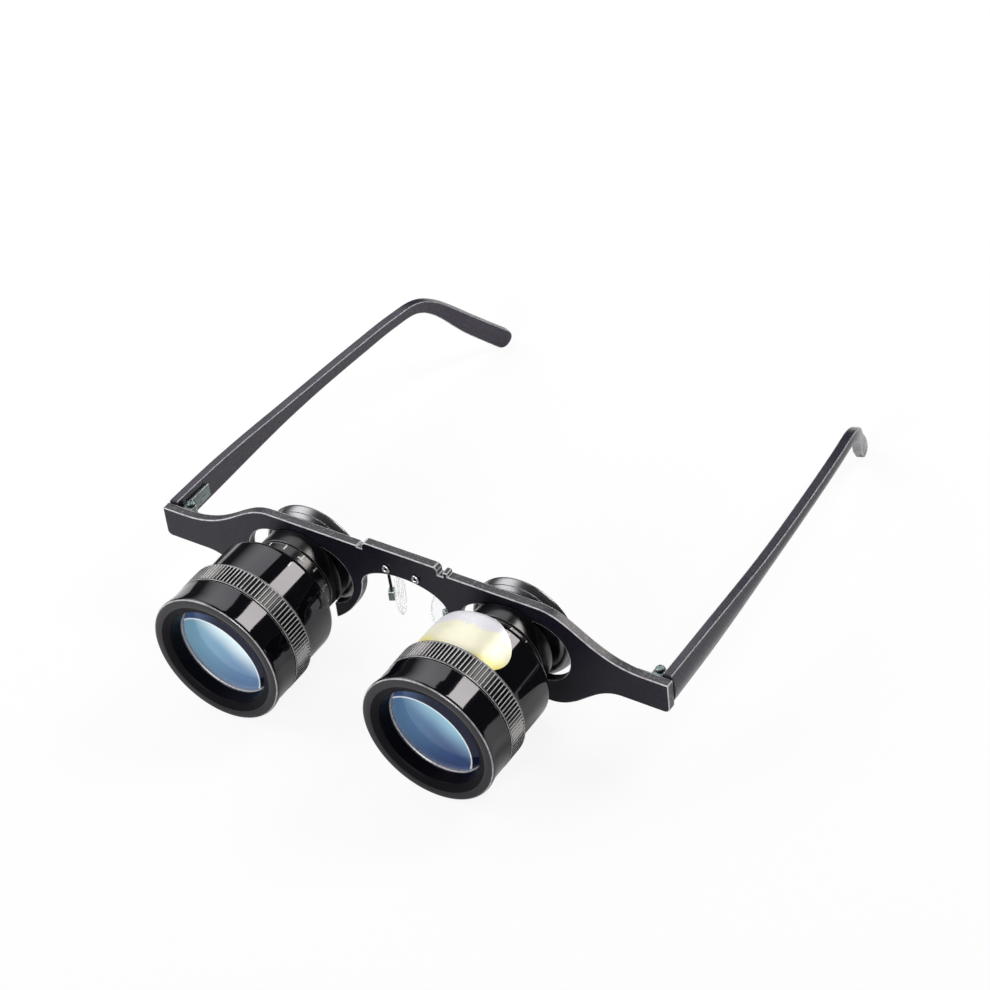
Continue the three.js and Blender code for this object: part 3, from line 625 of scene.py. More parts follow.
def curvePoints(start, firstHandle, secondHandle, end):
    points = interpolate_bezier(
        Vector((*start, 0)), Vector((*firstHandle, 0)), Vector((*secondHandle, 0)), Vector((*end, 0)),
        plate["curveSteps"],
    )
    return [(p.x, p.y) for p in points[1:]]


# Outline of the right half, clockwise from the top of the bridge to the top of the nose arch
def halfPlate(withNib):
    p = plate

    # Bridge block, notch and nib
    foot = p["bridgeHalfWidth"] + p["bridgeChamfer"]
    notchEnd = foot + p["notchWidth"]
    brow = p["browHeight"]
    outline = [
        (0, p["bridgeHeight"]), (p["bridgeHalfWidth"], p["bridgeHeight"]),
        (foot, p["bridgeHeight"] - p["bridgeChamfer"]),
        (foot, brow - p["notchDepth"]), (notchEnd, brow - p["notchDepth"]),
    ]
    if withNib:
        nibEnd = notchEnd + p["nibWidth"]
        outline += [(notchEnd, brow + p["nibHeight"]), (nibEnd, brow + p["nibHeight"]), (nibEnd, brow)]
    else:
        outline.append((notchEnd, brow))

    # Brow, its fall to the end wing, and the wing
    span = p["browHalfSpan"]
    fallEnd = p["halfWidth"] - p["endStraight"]
    fall = fallEnd - span
    outline.append((span, brow))
    outline += curvePoints(
        (span, brow), (span + fall * p["browHandles"][0], brow),
        (fallEnd - fall * p["browHandles"][1], p["endTop"]), (fallEnd, p["endTop"]),
    )
    outline.append((p["halfWidth"], p["endTop"]))
    corner = (p["halfWidth"] - p["endCorner"], p["endCorner"] - p["endBottom"])
    outline += arcPoints(corner, p["endCorner"], 0, -90)

    # Underside, from the wing down to the lobe below the telescope
    hollow = fallEnd - p["endStraight"]
    lobe = eyeHalfDistance + p["slotHalfHeight"]
    rise = hollow - lobe
    outline.append((hollow, -p["endBottom"]))
    outline += curvePoints(
        (hollow, -p["endBottom"]), (hollow - rise * p["lobeHandles"][0], -p["endBottom"]),
        (lobe + rise * p["lobeHandles"][1], -p["lobeDepth"]), (lobe, -p["lobeDepth"]),
    )

    # Slot, entered and left through the throat below it
    throatEnd = p["throatStart"] + p["throatWidth"]
    radius = p["slotHalfHeight"]
    outline += [(throatEnd, -p["lobeDepth"]), (throatEnd, -radius)]
    outline += arcPoints((p["slotOuterEnd"] - radius, 0), radius, -90, 90, p["curveSteps"])
    inner = p["slotInnerEnd"] + radius
    throatAngle = 360 - acos((p["throatStart"] - inner) / radius) * 180 / pi
    outline += arcPoints((inner, 0), radius, 90, throatAngle, p["curveSteps"])

    # Nose tip, cheek and arch
    tip = (p["throatStart"], -p["noseTipDepth"])
    outline.append(tip)
    cheek = p["throatStart"] - p["archHalfWidth"]
    drop = p["noseTipDepth"] + p["archWaist"]
    waist = (p["archHalfWidth"], p["archWaist"])
    tipIn, tipUp, waistOut, waistDown = p["cheekHandles"]
    outline += curvePoints(
        tip, (tip[0] - cheek * tipIn, tip[1] + drop * tipUp),
        (waist[0] + cheek * waistOut, waist[1] - drop * waistDown), waist,
    )
    archRise = p["archHeight"] - p["archWaist"]
    outline += curvePoints(
        waist, (waist[0], waist[1] + archRise * p["archHandles"][0]),
        (waist[0] * p["archHandles"][1], p["archHeight"]), (0, p["archHeight"]),
    )
    return outline


def makePlate():
    right = halfPlate(withNib=True)
    left = [(-x, z) for x, z in reversed(halfPlate(withNib=False)[1:-1])]
    bm = bmesh.new()
    front = bm.faces.new([bm.verts.new((x, 0, z)) for x, z in right + left])
    made = bmesh.ops.extrude_face_region(bm, geom=[front])
    bmesh.ops.translate(bm, vec=(0, plate["thickness"], 0), verts=newVerts(made))
    bmesh.ops.recalc_face_normals(bm, faces=bm.faces)
    # Painted light: the sides and top take the lighter grey copy, which stands in for light from above; the
    # rim is no greyer in itself
    for face in bm.faces:
        face.material_index = 1 if abs(face.normal.y) < 0.5 else 0       # the rim is greyer
    finishPiece("frontPlate", bm, "frame", "plateBlack",
                ["front_frame"], plate["edge"], "plateSidePaintedLight")


makePlate()
print("front plate ready")


# Telescopes, front to back

barrel = {
    "rimFront": -40.5, "rimRadius": 19.6, "rimLength": 1.3, "rimTaper": 2.6, "rimRound": 0.75,
    # painted highlight: the rim's front round takes a pale worn line, partly wear and partly standing in for
    # light along the rim
    "rimWornHighlight": (0.6, 0.1),       # shares of the rounding that the worn line leaves out, inside and outside
    "capRadius": 19.1, "capRear": -31.3, "mouthRadius": 17, "mouthInner": 14.9,
    "mouthBevelDepth": 0.9, "mouthRound": 0.5, "apertureRadius": 14.2, "apertureDepth": 4.6,
    "lensRadius": 17, "gap": 0.3, "seam": 0.35, "edge": 0.14,
}
drum = {
    "knurlRadius": 19.2, "knurlDepth": 0.45, "knurlCount": 108, "knurlLength": 6.6, "flange": 0.45,
    "radius": 17.9, "rear": {"left": -11.4, "right": -9.4}, "shoulder": 2, "shoulderSteps": 8,
    "wall": 1.6, "nutLength": 6, "bore": 12.3, "edge": 0.14,
}
drumFront = barrel["capRear"] + barrel["seam"]
knurlRear = drumFront + drum["knurlLength"]
barrelPlaces = {
    side: wornToRest @ Matrix.Translation((sign * eyeHalfDistance, 0, 0)) for side, sign in sideSigns.items()
}


def makeCap(side):
    b = barrel
    front = b["rimFront"]
    mouthDepth = front + b["apertureDepth"]
    rimCentre = (b["rimRadius"] - b["rimRound"], front + b["rimRound"])
    mouthEdge = (b["mouthRadius"], front)
    aperture = (b["apertureRadius"], mouthDepth)
    bm = turned([
        mouthEdge,
        *arcPoints(rimCentre, b["rimRound"], -90, 0),
        (b["rimRadius"], front + b["rimLength"]),
        (b["capRadius"], front + b["rimLength"] + b["rimTaper"]),
        (b["capRadius"], b["capRear"]),
        (b["lensRadius"] + b["gap"], b["capRear"]),
        (b["lensRadius"] + b["gap"], mouthDepth),
        aperture,
        *softCorner(aperture, (b["mouthInner"], front + b["mouthBevelDepth"]), mouthEdge, b["mouthRound"]),
    ])
    wornHighlightStart, wornHighlightEnd = [b["rimRadius"] - b["rimRound"] * share for share in b["rimWornHighlight"]]
    for face in bm.faces:
        middle = face.calc_center_median()
        radius = axisDistance(middle)
        if radius < b["mouthRadius"]:
            face.material_index = 1
        # Painted highlight: faces in the middle of the rim's front round take the pale worn finish
        elif wornHighlightStart < radius < wornHighlightEnd and middle.y < front + b["rimRound"]:
            face.material_index = 2      # the worn finish, which finishPiece adds for the edges
    finishPiece(f"{side}Cap", bm, f"{side}_focus_ring", "barrelBlack",
                [f"{side}_front_cap"], b["edge"], "baffleBlack", barrelPlaces[side])


def makeDrum(side):
    d = drum
    low = d["knurlRadius"] - d["knurlDepth"]
    innerRadius = d["radius"] - d["wall"]
    rear = d["rear"][side]
    shoulderCentre = (d["radius"] - d["shoulder"], rear - d["shoulder"])
    bm = turned([
        (innerRadius, drumFront),
        (d["knurlRadius"], drumFront),
        (d["knurlRadius"], drumFront + d["flange"]),
        (low, drumFront + d["flange"]),
        (low, knurlRear - d["flange"]),
        (d["knurlRadius"], knurlRear - d["flange"]),
        (d["knurlRadius"], knurlRear),
        (d["radius"], knurlRear),
        *arcPoints(shoulderCentre, d["shoulder"], 0, 90, d["shoulderSteps"]),
        (d["bore"], rear),
        (d["bore"], rear - d["nutLength"]),
        (innerRadius, rear - d["nutLength"]),
    ])
    finishPiece(f"{side}Drum", bm, f"{side}_focus_ring", "barrelBlack",
                [f"{side}_focus_drum"], d["edge"], place=barrelPlaces[side])


# Grip ribs: a circle drawn in to every second pair of points, extruded along the barrel. The crests take the
# pale worn finish, partly wear and partly a painted highlight on every rib.
def makeKnurl(side):
    d = drum
    ribPoints = 4
    bm = bmesh.new()
    segments = d["knurlCount"] * ribPoints
    outer = bmesh.ops.create_circle(bm, segments=segments, radius=d["knurlRadius"])["verts"]
    bmesh.ops.rotate(bm, cent=(0, 0, 0), matrix=Matrix.Rotation(pi / 2, 3, "X"), verts=outer)
    low = [v for i, v in enumerate(outer) if i % ribPoints > 1]
    lowShare = 1 - d["knurlDepth"] / d["knurlRadius"]
    bmesh.ops.scale(bm, vec=(lowShare, 1, lowShare), verts=low)
    bmesh.ops.translate(bm, vec=(0, drumFront + d["flange"], 0), verts=outer)
    firstLoop = list(bm.edges)
    farVerts, farLoop = extrudeLoop(bm, firstLoop)
    bmesh.ops.translate(bm, vec=(0, d["knurlLength"] - 2 * d["flange"], 0), verts=farVerts)
    ends = []
    inward = 1 - 2 * d["knurlDepth"] / d["knurlRadius"]
    for loop in (firstLoop, farLoop):
        innerVerts, innerLoop = extrudeLoop(bm, loop)
        bmesh.ops.scale(bm, vec=(inward, 1, inward), verts=innerVerts)
        ends += innerLoop
    bmesh.ops.bridge_loops(bm, edges=ends)
    bmesh.ops.recalc_face_normals(bm, faces=bm.faces)
    crestRadius = d["knurlRadius"] - d["knurlDepth"] / 4
    # Painted highlight: every crest face gets the pale worn finish, standing in for light catching the ribs
    for face in bm.faces:
        onCrest = min(axisDistance(v.co) for v in face.verts) > crestRadius
        face.material_index = 1 if onCrest else 0
    finishPiece(f"{side}Knurl", bm, f"{side}_focus_ring", "knurlBlack",
                second="knurlBlackEdge", place=barrelPlaces[side])


optics = {
    "ringLength": 1, "ringBevel": 0.3, "thickness": 2.9, "bulge": 1.5, "backBulge": 0.5,
    "setback": 0.15, "rings": 14, "steps": 128, "edge": 0.12,
}


def makeObjective(side):
    b = barrel
    o = optics
    ringFront = b["rimFront"] + b["apertureDepth"] + b["gap"]
    ringRear = ringFront + o["ringLength"]
    lip = b["apertureRadius"] + o["ringBevel"]
    bm = turned([
        (lip, ringFront),
        (b["lensRadius"], ringFront),
        (b["lensRadius"], ringRear),
        (b["apertureRadius"], ringRear),
        (b["apertureRadius"], ringFront + o["ringBevel"]),
    ])
    for face in bm.faces:
        face.material_index = 1 if axisDistance(face.calc_center_median()) < lip else 0
    finishPiece(f"{side}LensRing", bm, f"{side}_objective", "baffleBlack",
                [f"{side}_lens_ring"], second="ringSilver", place=barrelPlaces[side])
    lensFront = ringRear + b["gap"]
    front = lensFace(b["lensRadius"], lensFront + o["setback"], -o["bulge"], o["rings"])
    back = lensFace(b["lensRadius"], lensFront + o["thickness"], o["backBulge"], o["rings"])
    bm = turned(front + back[::-1], o["steps"], closed=False)
    finishPiece(f"{side}Objective", bm, f"{side}_objective", f"{side}CoatedGlassPaintedLight",
                [f"{side}_objective_lens"], o["edge"], place=barrelPlaces[side])


tube = {
    "front": -25, "neckRadius": 12, "collarRadius": 12.5, "collarLength": 4.6, "collarRear": -0.3,
    "bore": 8, "bossRadius": 9.45, "spigotRadius": 9.1, "spigotLength": 1.3, "edge": 0.15,
}


def makeTube(side):
    t = tube
    plateRear = plate["thickness"]
    spigotRear = plateRear + barrel["gap"] + t["spigotLength"]
    collarFront = t["collarRear"] - t["collarLength"]
    bm = turned([
        (t["bore"], t["front"]),
        (t["neckRadius"], t["front"]),
        (t["neckRadius"], collarFront - barrel["gap"]),
        (t["collarRadius"], collarFront),
        (t["collarRadius"], t["collarRear"]),
        (t["bossRadius"], t["collarRear"]),
        (t["bossRadius"], plateRear),
        (t["spigotRadius"], plateRear),
        (t["spigotRadius"], spigotRear),
        (t["bore"], spigotRear),
    ])
    finishPiece(f"{side}Tube", bm, f"{side}_telescope", "neckBlack",
                [f"{side}_telescope_tube"], t["edge"], place=barrelPlaces[side])


# Painted scale on the neck: strokes along the barrel with a plus, a nought and a dot beside
# them, and an index stroke on the drum's shoulder. The two necks are turned differently.
scaleMarks = {
    "left": {"strokes": (138, 113, 88, 61, 39, 13, -14, -40), "plus": 61, "nought": 11, "dot": -28},
    "right": {"strokes": (140, 116, 91, 67, 43, 4, -22, -47), "plus": 116, "nought": -34, "dot": 19},
    "strokeMiddle": -6.1, "strokeLength": 1.6, "strokeWidth": 0.45, "markMiddle": -7.5, "dotWidth": 0.6,
    "barLength": 2.2, "barHeight": 0.054, "noughtRadius": 0.75, "noughtSteps": 20, "height": 0.06,
    "indexAngle": 62, "indexLength": 1.5, "indexSetback": 1.1, "edge": 0.015,
}


def onBarrel(radius, angle, y):
    return Matrix.Rotation(-radians(angle), 4, "Y") @ Matrix.Translation((radius, y, 0))


def makeMarks(side):
    m = scaleMarks
    own = m[side]
    radius = tube["neckRadius"] + m["height"] / 4
    bm = bmesh.new()
    for angle in own["strokes"]:
        place = onBarrel(radius, angle, m["strokeMiddle"])
        addBox(bm, (m["height"], m["strokeLength"], m["strokeWidth"]), place)
    addBox(bm, (m["height"], m["dotWidth"], m["dotWidth"]), onBarrel(radius, own["dot"], m["markMiddle"]))
    barMiddle = m["strokeMiddle"] - m["strokeLength"] / 2
    addBox(bm, (m["barHeight"], m["strokeWidth"], m["barLength"]), onBarrel(radius, own["plus"], barMiddle))
    ring = []
    for size in (m["noughtRadius"], m["noughtRadius"] - m["strokeWidth"]):
        ring += bmesh.ops.create_circle(bm, segments=m["noughtSteps"], radius=size)["verts"]
    edges = [e for e in bm.edges if e.verts[0] in ring and e.verts[1] in ring]
    faces = bmesh.ops.bridge_loops(bm, edges=edges)["faces"]
    raised = newVerts(bmesh.ops.extrude_face_region(bm, geom=faces))
    bmesh.ops.translate(bm, vec=(0, 0, m["height"]), verts=raised)
    noughtPlace = onBarrel(radius, own["nought"], m["markMiddle"]) @ Matrix.Rotation(pi / 2, 4, "Y")
    bmesh.ops.transform(bm, matrix=noughtPlace, verts=ring + raised)
    bmesh.ops.recalc_face_normals(bm, faces=bm.faces)
    finishPiece(f"{side}ScaleMarks", bm, f"{side}_telescope", "markWhite",
                edge=m["edge"], place=barrelPlaces[side])
    bm = bmesh.new()
    indexMiddle = drum["rear"][side] - drum["shoulder"] - m["indexSetback"]
    onShoulder = onBarrel(drum["radius"] + m["height"] / 4, m["indexAngle"], indexMiddle)
    addBox(bm, (m["height"], m["indexLength"], m["strokeWidth"]), onShoulder)
    finishPiece(f"{side}IndexMark", bm, f"{side}_focus_ring", "markWhite",
                edge=m["edge"], place=barrelPlaces[side])


eyepiece = {
    "length": 2, "frontRadius": 12.4, "domeLength": 6, "domeSteps": 24, "leastStep": 0.1, "seam": 0.12,
    "socket": 9.4, "sleeve": 11.1, "pupil": 7.6, "lip": 0.4, "edge": 0.1,
    "cupRadius": 15.6, "cupLength": 2.5, "cupRound": 0.45, "cupInner": 11.4, "cupEdge": 0.06,
    "grooveShares": (0.72, 0.4), "grooveWidth": 0.5, "grooveFloor": 0.2, "grooveDepth": 0.2,
    "lensRadius": 8.7, "lensThickness": 1.3, "lensDish": 0.3, "lensRings": 8, "lensSteps": 96,
}
eyepieceFront = plate["thickness"] + barrel["gap"]
eyecupFront = eyepieceFront + eyepiece["length"]
eyecupRear = eyecupFront + eyepiece["cupLength"]
ocularFront = eyepieceFront + tube["spigotLength"] + barrel["gap"]
ocularRear = ocularFront + eyepiece["lensThickness"]
domeRings = [
    eyepiece["domeLength"] * (1 - cos(radians(90 * i / eyepiece["domeSteps"])))
    for i in range(eyepiece["domeSteps"] + 1)
]


# Radius of the dome that the housing and the eyecup share, by the distance behind its front
def onDome(behind):
    e = eyepiece
    share = 1 - min(behind, e["domeLength"]) / e["domeLength"]
    return e["frontRadius"] + (e["cupRadius"] - e["frontRadius"]) * (1 - share * share) ** 0.5


def makeEyepiece(side):
    e = eyepiece
    end = e["length"] - e["seam"]
    bm = turned([
        (e["socket"], eyepieceFront),
        *[(onDome(behind), eyepieceFront + behind) for behind in domeRings if behind < end - e["leastStep"]],
        (onDome(end), eyepieceFront + end),
        (e["sleeve"], eyepieceFront + end),
        (e["sleeve"], eyecupRear - e["lip"]),
        (e["pupil"], eyecupRear - e["lip"]),
        (e["pupil"], ocularRear + barrel["gap"]),
        (e["socket"], ocularRear + barrel["gap"]),
    ])
    finishPiece(f"{side}EyepieceHousing", bm, f"{side}_telescope", "eyepieceBlack",
                [f"{side}_eyepiece_housing"], e["edge"], place=barrelPlaces[side])


# The dome goes on over the eyecup, and two shallow grooves run round its rear face
def makeEyecup(side):
    e = eyepiece
    start = e["length"]
    end = start + e["cupLength"] - e["cupRound"]
    core = onDome(end) - e["cupRound"]
    rings = [behind for behind in domeRings if start + e["leastStep"] < behind < end - e["leastStep"]]
    profile = [(e["cupInner"], eyecupFront), (onDome(start), eyecupFront)]
    profile += [(onDome(behind), eyepieceFront + behind) for behind in rings]
    profile += arcPoints((core, eyecupRear - e["cupRound"]), e["cupRound"], 0, 90)
    half = e["grooveWidth"] / 2
    halfFloor = e["grooveFloor"] / 2
    floor = eyecupRear - e["grooveDepth"]
    for share in e["grooveShares"]:
        groove = e["cupInner"] + (core - e["cupInner"]) * share
        profile += [(groove + half, eyecupRear), (groove + halfFloor, floor),
                    (groove - halfFloor, floor), (groove - half, eyecupRear)]
    profile.append((e["cupInner"], eyecupRear))
    finishPiece(f"{side}Eyecup", turned(profile), f"{side}_telescope", "eyepieceBlack",
                [f"{side}_eyecup"], e["cupEdge"], place=barrelPlaces[side])


def makeOcular(side):
    e = eyepiece
    frontFace = lensFace(e["lensRadius"], ocularFront, e["lensDish"], e["lensRings"])
    rearFace = lensFace(e["lensRadius"], ocularRear, -e["lensDish"], e["lensRings"])
    bm = turned(frontFace + rearFace[::-1], e["lensSteps"], closed=False)
    finishPiece(f"{side}OcularLens", bm, f"{side}_telescope", "clearGlass",
                [f"{side}_ocular_lens"], e["edge"], place=barrelPlaces[side])


for side in sideSigns:
    finishes[f"{side}CoatedGlassPaintedLight"] = makeCoatedGlassPaintedLight(side)
    makeCap(side)
    makeDrum(side)
    makeKnurl(side)
    makeObjective(side)
    makeTube(side)
    makeMarks(side)
    makeEyepiece(side)
    makeEyecup(side)
    makeOcular(side)
print("telescopes ready")


# Oval label on the right drum, bare

def makeLabel():
    s = labelSizes
    bm = bmesh.new()
    verts = [bm.verts.new((i / s["rings"], 0, 0)) for i in range(s["rings"] + 1)]
    edges = [bm.edges.new(pair) for pair in zip(verts, verts[1:])]
    bmesh.ops.spin(bm, geom=verts + edges, cent=(0, 0, 0), axis=(0, 0, 1),
                   angle=2 * pi, steps=s["steps"], use_merge=True)
    bmesh.ops.remove_doubles(bm, verts=bm.verts, dist=doubleDistance)
    bmesh.ops.scale(bm, vec=(radians(s["halfAngle"]), s["length"] / 2, 1), verts=bm.verts)
    bmesh.ops.translate(bm, vec=(0, s["middle"], 0), verts=bm.verts)
    cutPlane(bm, (0, knurlRear + barrel["gap"], 0), (0, -1, 0), clear=True)

    # The flat oval, in radians across and millimetres along, goes round the drum and over its shoulder
    shoulder = drum["shoulder"]
    shoulderStart = drum["rear"]["right"] - shoulder
    for vert in bm.verts:
        angle = radians(s["middleAngle"]) - vert.co.x
        over = max(0, vert.co.y - shoulderStart) / shoulder
        radius = drum["radius"] + s["lift"] - (shoulder + s["lift"]) * (1 - cos(over))
        y = min(vert.co.y, shoulderStart) + (shoulder + s["lift"]) * sin(over)
        vert.co = Vector((radius * cos(angle), y, radius * sin(angle)))
    bmesh.ops.recalc_face_normals(bm, faces=bm.faces)
    if sum(face.normal.dot(face.calc_center_median()) for face in bm.faces) < 0:
        bmesh.ops.reverse_faces(bm, faces=bm.faces)
    bmesh.ops.solidify(bm, geom=bm.faces[:], thickness=-s["thickness"])
    bmesh.ops.recalc_face_normals(bm, faces=bm.faces)
    finishPiece("ovalLabel", bm, "right_focus_ring", "labelFoil", ["right_oval_label"],
                place=barrelPlaces["right"])


finishes["labelFoil"] = makeFoil()
makeLabel()
print("label ready")


# Temples and hinges

# Moulded temples: a bowed centre line that bends down and in, with a crowned outer side and
# a rounded tip. Tip places are shares of its reach inwards, back and down.
temple = {
    "thickness": 3, "rootHeight": 9, "length": 108, "drop": 2.2, "inset": 5.3, "gap": 0.3,
    "tipInset": 12.2, "tipBack": 32.3, "tipDrop": 29.8, "tipRound": 3.6, "roundPower": 2.3,
    "bowShares": (0, 0.16, 0.32, 0.48, 0.64, 0.8, 0.93),
    "tipShares": ((0.06, 0.1, 0.03), (0.2, 0.31, 0.17), (0.6, 0.64, 0.58), (1, 1, 1)),
    "heightShares": ((0, 1), (0.12, 0.91), (0.2, 0.78), (0.32, 0.545), (0.42, 0.455),
                     (0.7, 0.386), (0.79, 0.48), (0.87, 0.65), (1, 0.68)),
    "leastHeight": 0.3, "leastWidth": 0.7, "blur": 0.03, "crownShare": 0.19, "edge": 0.45, "edgeSteps": 4,
    "flatShares": (0.15, 0.85), "insideShares": (-0.9, 0.9), "crownShares": (-0.67, -0.33, 0, 0.33, 0.67),
    "lineSteps": 24, "sections": 110, "tipSections": 10,
}


# A curve through the points that doesn't overshoot where they lie unevenly
def smoothLine(points):
    known = [2 * points[0] - points[1], *points, 2 * points[-1] - points[-2]]
    line = []
    for before, start, end, after in zip(known, known[1:], known[2:], known[3:]):
        spans = (start - before, end - start, after - end)
        first, middle, last = [span.length ** 0.5 for span in spans]
        leave = (start - before) / first - (end - before) / (first + middle) + (end - start) / middle
        arrive = (end - start) / middle - (after - start) / (middle + last) + (after - end) / last
        handles = (start + leave * middle / 3, end - arrive * middle / 3)
        line += interpolate_bezier(start, *handles, end, temple["lineSteps"])[:-1]
    return line + [points[-1]]


# The point at a distance along a line, whose own points lie at the given lengths
def pointAlong(line, lengths, at):
    index = max(1, min(bisect_left(lengths, at), len(line) - 1))
    share = (at - lengths[index - 1]) / (lengths[index] - lengths[index - 1])
    return line[index - 1].lerp(line[index], max(0, min(1, share)))


# Height as a share of the root's, averaged over a short stretch so that it has no kinks
def templeHeight(share):
    heights = temple["heightShares"]
    shifts = (-1, -0.5, 0, 0.5, 1)
    total = 0
    for shift in shifts:
        at = max(0, min(1, share + shift * temple["blur"]))
        for (low, lowHeight), (high, highHeight) in zip(heights, heights[1:]):
            if low <= at <= high:
                total += lowHeight + (highHeight - lowHeight) * (at - low) / (high - low)
                break
    return total / len(shifts)


# Section of a temple, flat inside and crowned outside. Each corner is an arc, with two points
# between one corner and the next and the crown's points after the last.
def templeSection(half):
    t = temple
    edge = t["edge"] * min(1, half)
    crown = t["crownShare"] * half
    inner = edge - t["thickness"] / 2
    outer = t["thickness"] / 2 - crown / 2 - edge
    level = half - edge
    across = [outer + (inner - outer) * s for s in t["flatShares"]]
    return [
        *arcPoints((outer, level), edge, 0, 90, t["edgeSteps"]),
        *[(x, half) for x in across],
        *arcPoints((inner, level), edge, 90, 180, t["edgeSteps"]),
        *[(inner - edge, -level * s) for s in t["insideShares"]],
        *arcPoints((inner, -level), edge, 180, 270, t["edgeSteps"]),
        *[(x, -half) for x in reversed(across)],
        *arcPoints((outer, -level), edge, 270, 360, t["edgeSteps"]),
        *[(outer + edge + crown * (1 - s * s), level * s) for s in t["crownShares"]],
    ]


# Centre line of the right temple, from its root to the end of its tip
def templeLine():
    t = temple
    root = Vector((plate["halfWidth"] - t["thickness"] / 2, plate["thickness"] + t["gap"], 0))
    reach = Vector((-t["inset"], t["length"], -t["drop"]))
    tipReach = Vector((-t["tipInset"], t["tipBack"], -t["tipDrop"]))
    points = [root + reach * Vector((s * s, s, s * s)) for s in t["bowShares"]]
    points += [root + reach + tipReach * Vector(shares) for shares in t["tipShares"]]
    return smoothLine(points)


# Sections stand across the line, close together and rounded off at the tip, and are joined
def makeTemple(side, sign):
    t = temple
    line = templeLine()
    lengths = [0]
    for start, end in zip(line, line[1:]):
        lengths.append(lengths[-1] + (end - start).length)
    straight = lengths[-1] - t["tipRound"]
    places = [straight * i / t["sections"] for i in range(t["sections"])]
    for i in range(t["tipSections"] + 1):
        places.append(straight + t["tipRound"] * sin(radians(90 * i / t["tipSections"])))
    cornerStarts = [corner * (t["edgeSteps"] + 3) for corner in range(4)]       # an arc and two points each
    bm = bmesh.new()
    loops = []
    wornAndLitVerts = set()
    for at in places:
        middle = pointAlong(line, lengths, at)
        along = (pointAlong(line, lengths, at + 1) - pointAlong(line, lengths, at - 1)).normalized()
        across = Vector((along.y, -along.x, 0)).normalized()
        up = across.cross(along)
        past = max(0, at - straight) / t["tipRound"]
        rounding = max(0, 1 - past ** t["roundPower"]) ** (1 / t["roundPower"])
        half = t["rootHeight"] / 2 * templeHeight(at / lengths[-1]) * max(rounding, t["leastHeight"])
        slim = t["leastWidth"] + (1 - t["leastWidth"]) * rounding
        points = [middle + across * wide * slim + up * high for wide, high in templeSection(half)]
        ring = [bm.verts.new((sign * point.x, point.y, point.z)) for point in points]
        loops.append([bm.edges.new(pair) for pair in zip(ring, ring[1:] + ring[:1])])
        wornAndLitVerts.update(ring[start + i] for start in cornerStarts for i in range(1, t["edgeSteps"]))
    for near, far in zip(loops, loops[1:]):
        bmesh.ops.bridge_loops(bm, edges=near + far)
    bmesh.ops.holes_fill(bm, edges=bm.edges, sides=0)
    bmesh.ops.recalc_face_normals(bm, faces=bm.faces)
    # Faces on the rounded corners take the pale worn finish: partly wear and partly a painted highlight
    # along the edges
    for face in bm.faces:
        face.material_index = 1 if wornAndLitVerts.issuperset(face.verts) else 0
    finishPiece(f"{side}Temple", bm, f"{side}_temple", "templeBlack",
                [f"{side}_temple"], second="templeBlackEdge")


screw = {
    "pinX": 74.2, "pinY": 5.6, "leafHeight": 5, "leafEdge": 0.1, "gap": 0.3,
    "shankRadius": 0.7, "headRadius": 1.2, "headHeight": 0.5, "headBevel": 0.2, "headTopRadius": 0.96,
    "slotWidth": 0.4, "slotDepth": 0.22, "slotTurn": 0.6, "steps": 48,
}


def makeScrew(side, sign):
    s = screw
    low = -s["leafHeight"] / 2
    headLow = s["leafHeight"] / 2 + s["gap"]
    headTop = headLow + s["headHeight"]
    bm = turned([
        (0, low), (s["shankRadius"], low), (s["shankRadius"], headLow), (s["headRadius"], headLow),
        (s["headRadius"], headTop - s["headBevel"]), (s["headTopRadius"], headTop), (0, headTop),
    ], s["steps"], closed=False)
    halfSlot = s["slotWidth"] / 2
    for slotSide in (-halfSlot, halfSlot):
        cutPlane(bm, (slotSide, 0, 0), (1, 0, 0))
    middles = [(face, face.calc_center_median()) for face in bm.faces]
    inSlot = [face for face, middle in middles if abs(middle.x) < halfSlot and middle.y > headTop - slack]
    sunk = newVerts(bmesh.ops.extrude_face_region(bm, geom=inSlot))
    bmesh.ops.translate(bm, vec=(0, -s["slotDepth"], 0), verts=sunk)
    bmesh.ops.delete(bm, geom=inSlot, context="FACES_ONLY")
    bmesh.ops.recalc_face_normals(bm, faces=bm.faces)
    place = (wornToRest @ Matrix.Translation((sign * s["pinX"], s["pinY"], 0))
             @ Matrix.Rotation(s["slotTurn"], 4, "Z") @ Matrix.Rotation(pi / 2, 4, "X"))
    finishPiece(f"{side}HingeScrew", bm, "frame", "hingeSteel", [f"{side}_hinge_screw"], place=place)


for side, sign in sideSigns.items():
    makeTemple(side, sign)
    refineNode(f"{side}_frame_hinge_leaf", f"{side}FrameLeaf", "frame", "hingeSteel", screw["leafEdge"])
    refineNode(f"{side}_temple_hinge_leaf", f"{side}TempleLeaf", f"{side}_temple", "hingeSteel",
               screw["leafEdge"])
    makeScrew(side, sign)
print("temples and hinges ready")


# Nose rest

noseRest = {
    "rivetSpacing": 9.3, "rivetHeight": 10.5, "rivetRadius": 0.8, "rivetHeadRadius": 1.25,
    "rivetHeadHeight": 0.35, "rivetHole": 0.5, "rivetHoleDepth": 0.56, "rivetSteps": 48,
    "bracketHeight": 3.2, "bracketThickness": 0.8, "bracketEdge": 0.12,
    "armRadius": 0.5, "wireRadius": 0.42, "kneeShare": 0.45,
    "padBoxWidth": 1.8, "padBoxHeight": 3, "padBoxEdge": 0.15,
    "padHalfSpread": 8.9, "padSetback": 6, "padLevel": -5, "padTurn": 28, "padLug": 1.1, "gap": 0.3,
    "padHeight": 14, "padDepth": 7.5, "padThickness": 2.2, "padFlatShare": 0.62,
    "padSmoothing": 0.4, "padRounds": 3, "padSegments": (48, 28),
}


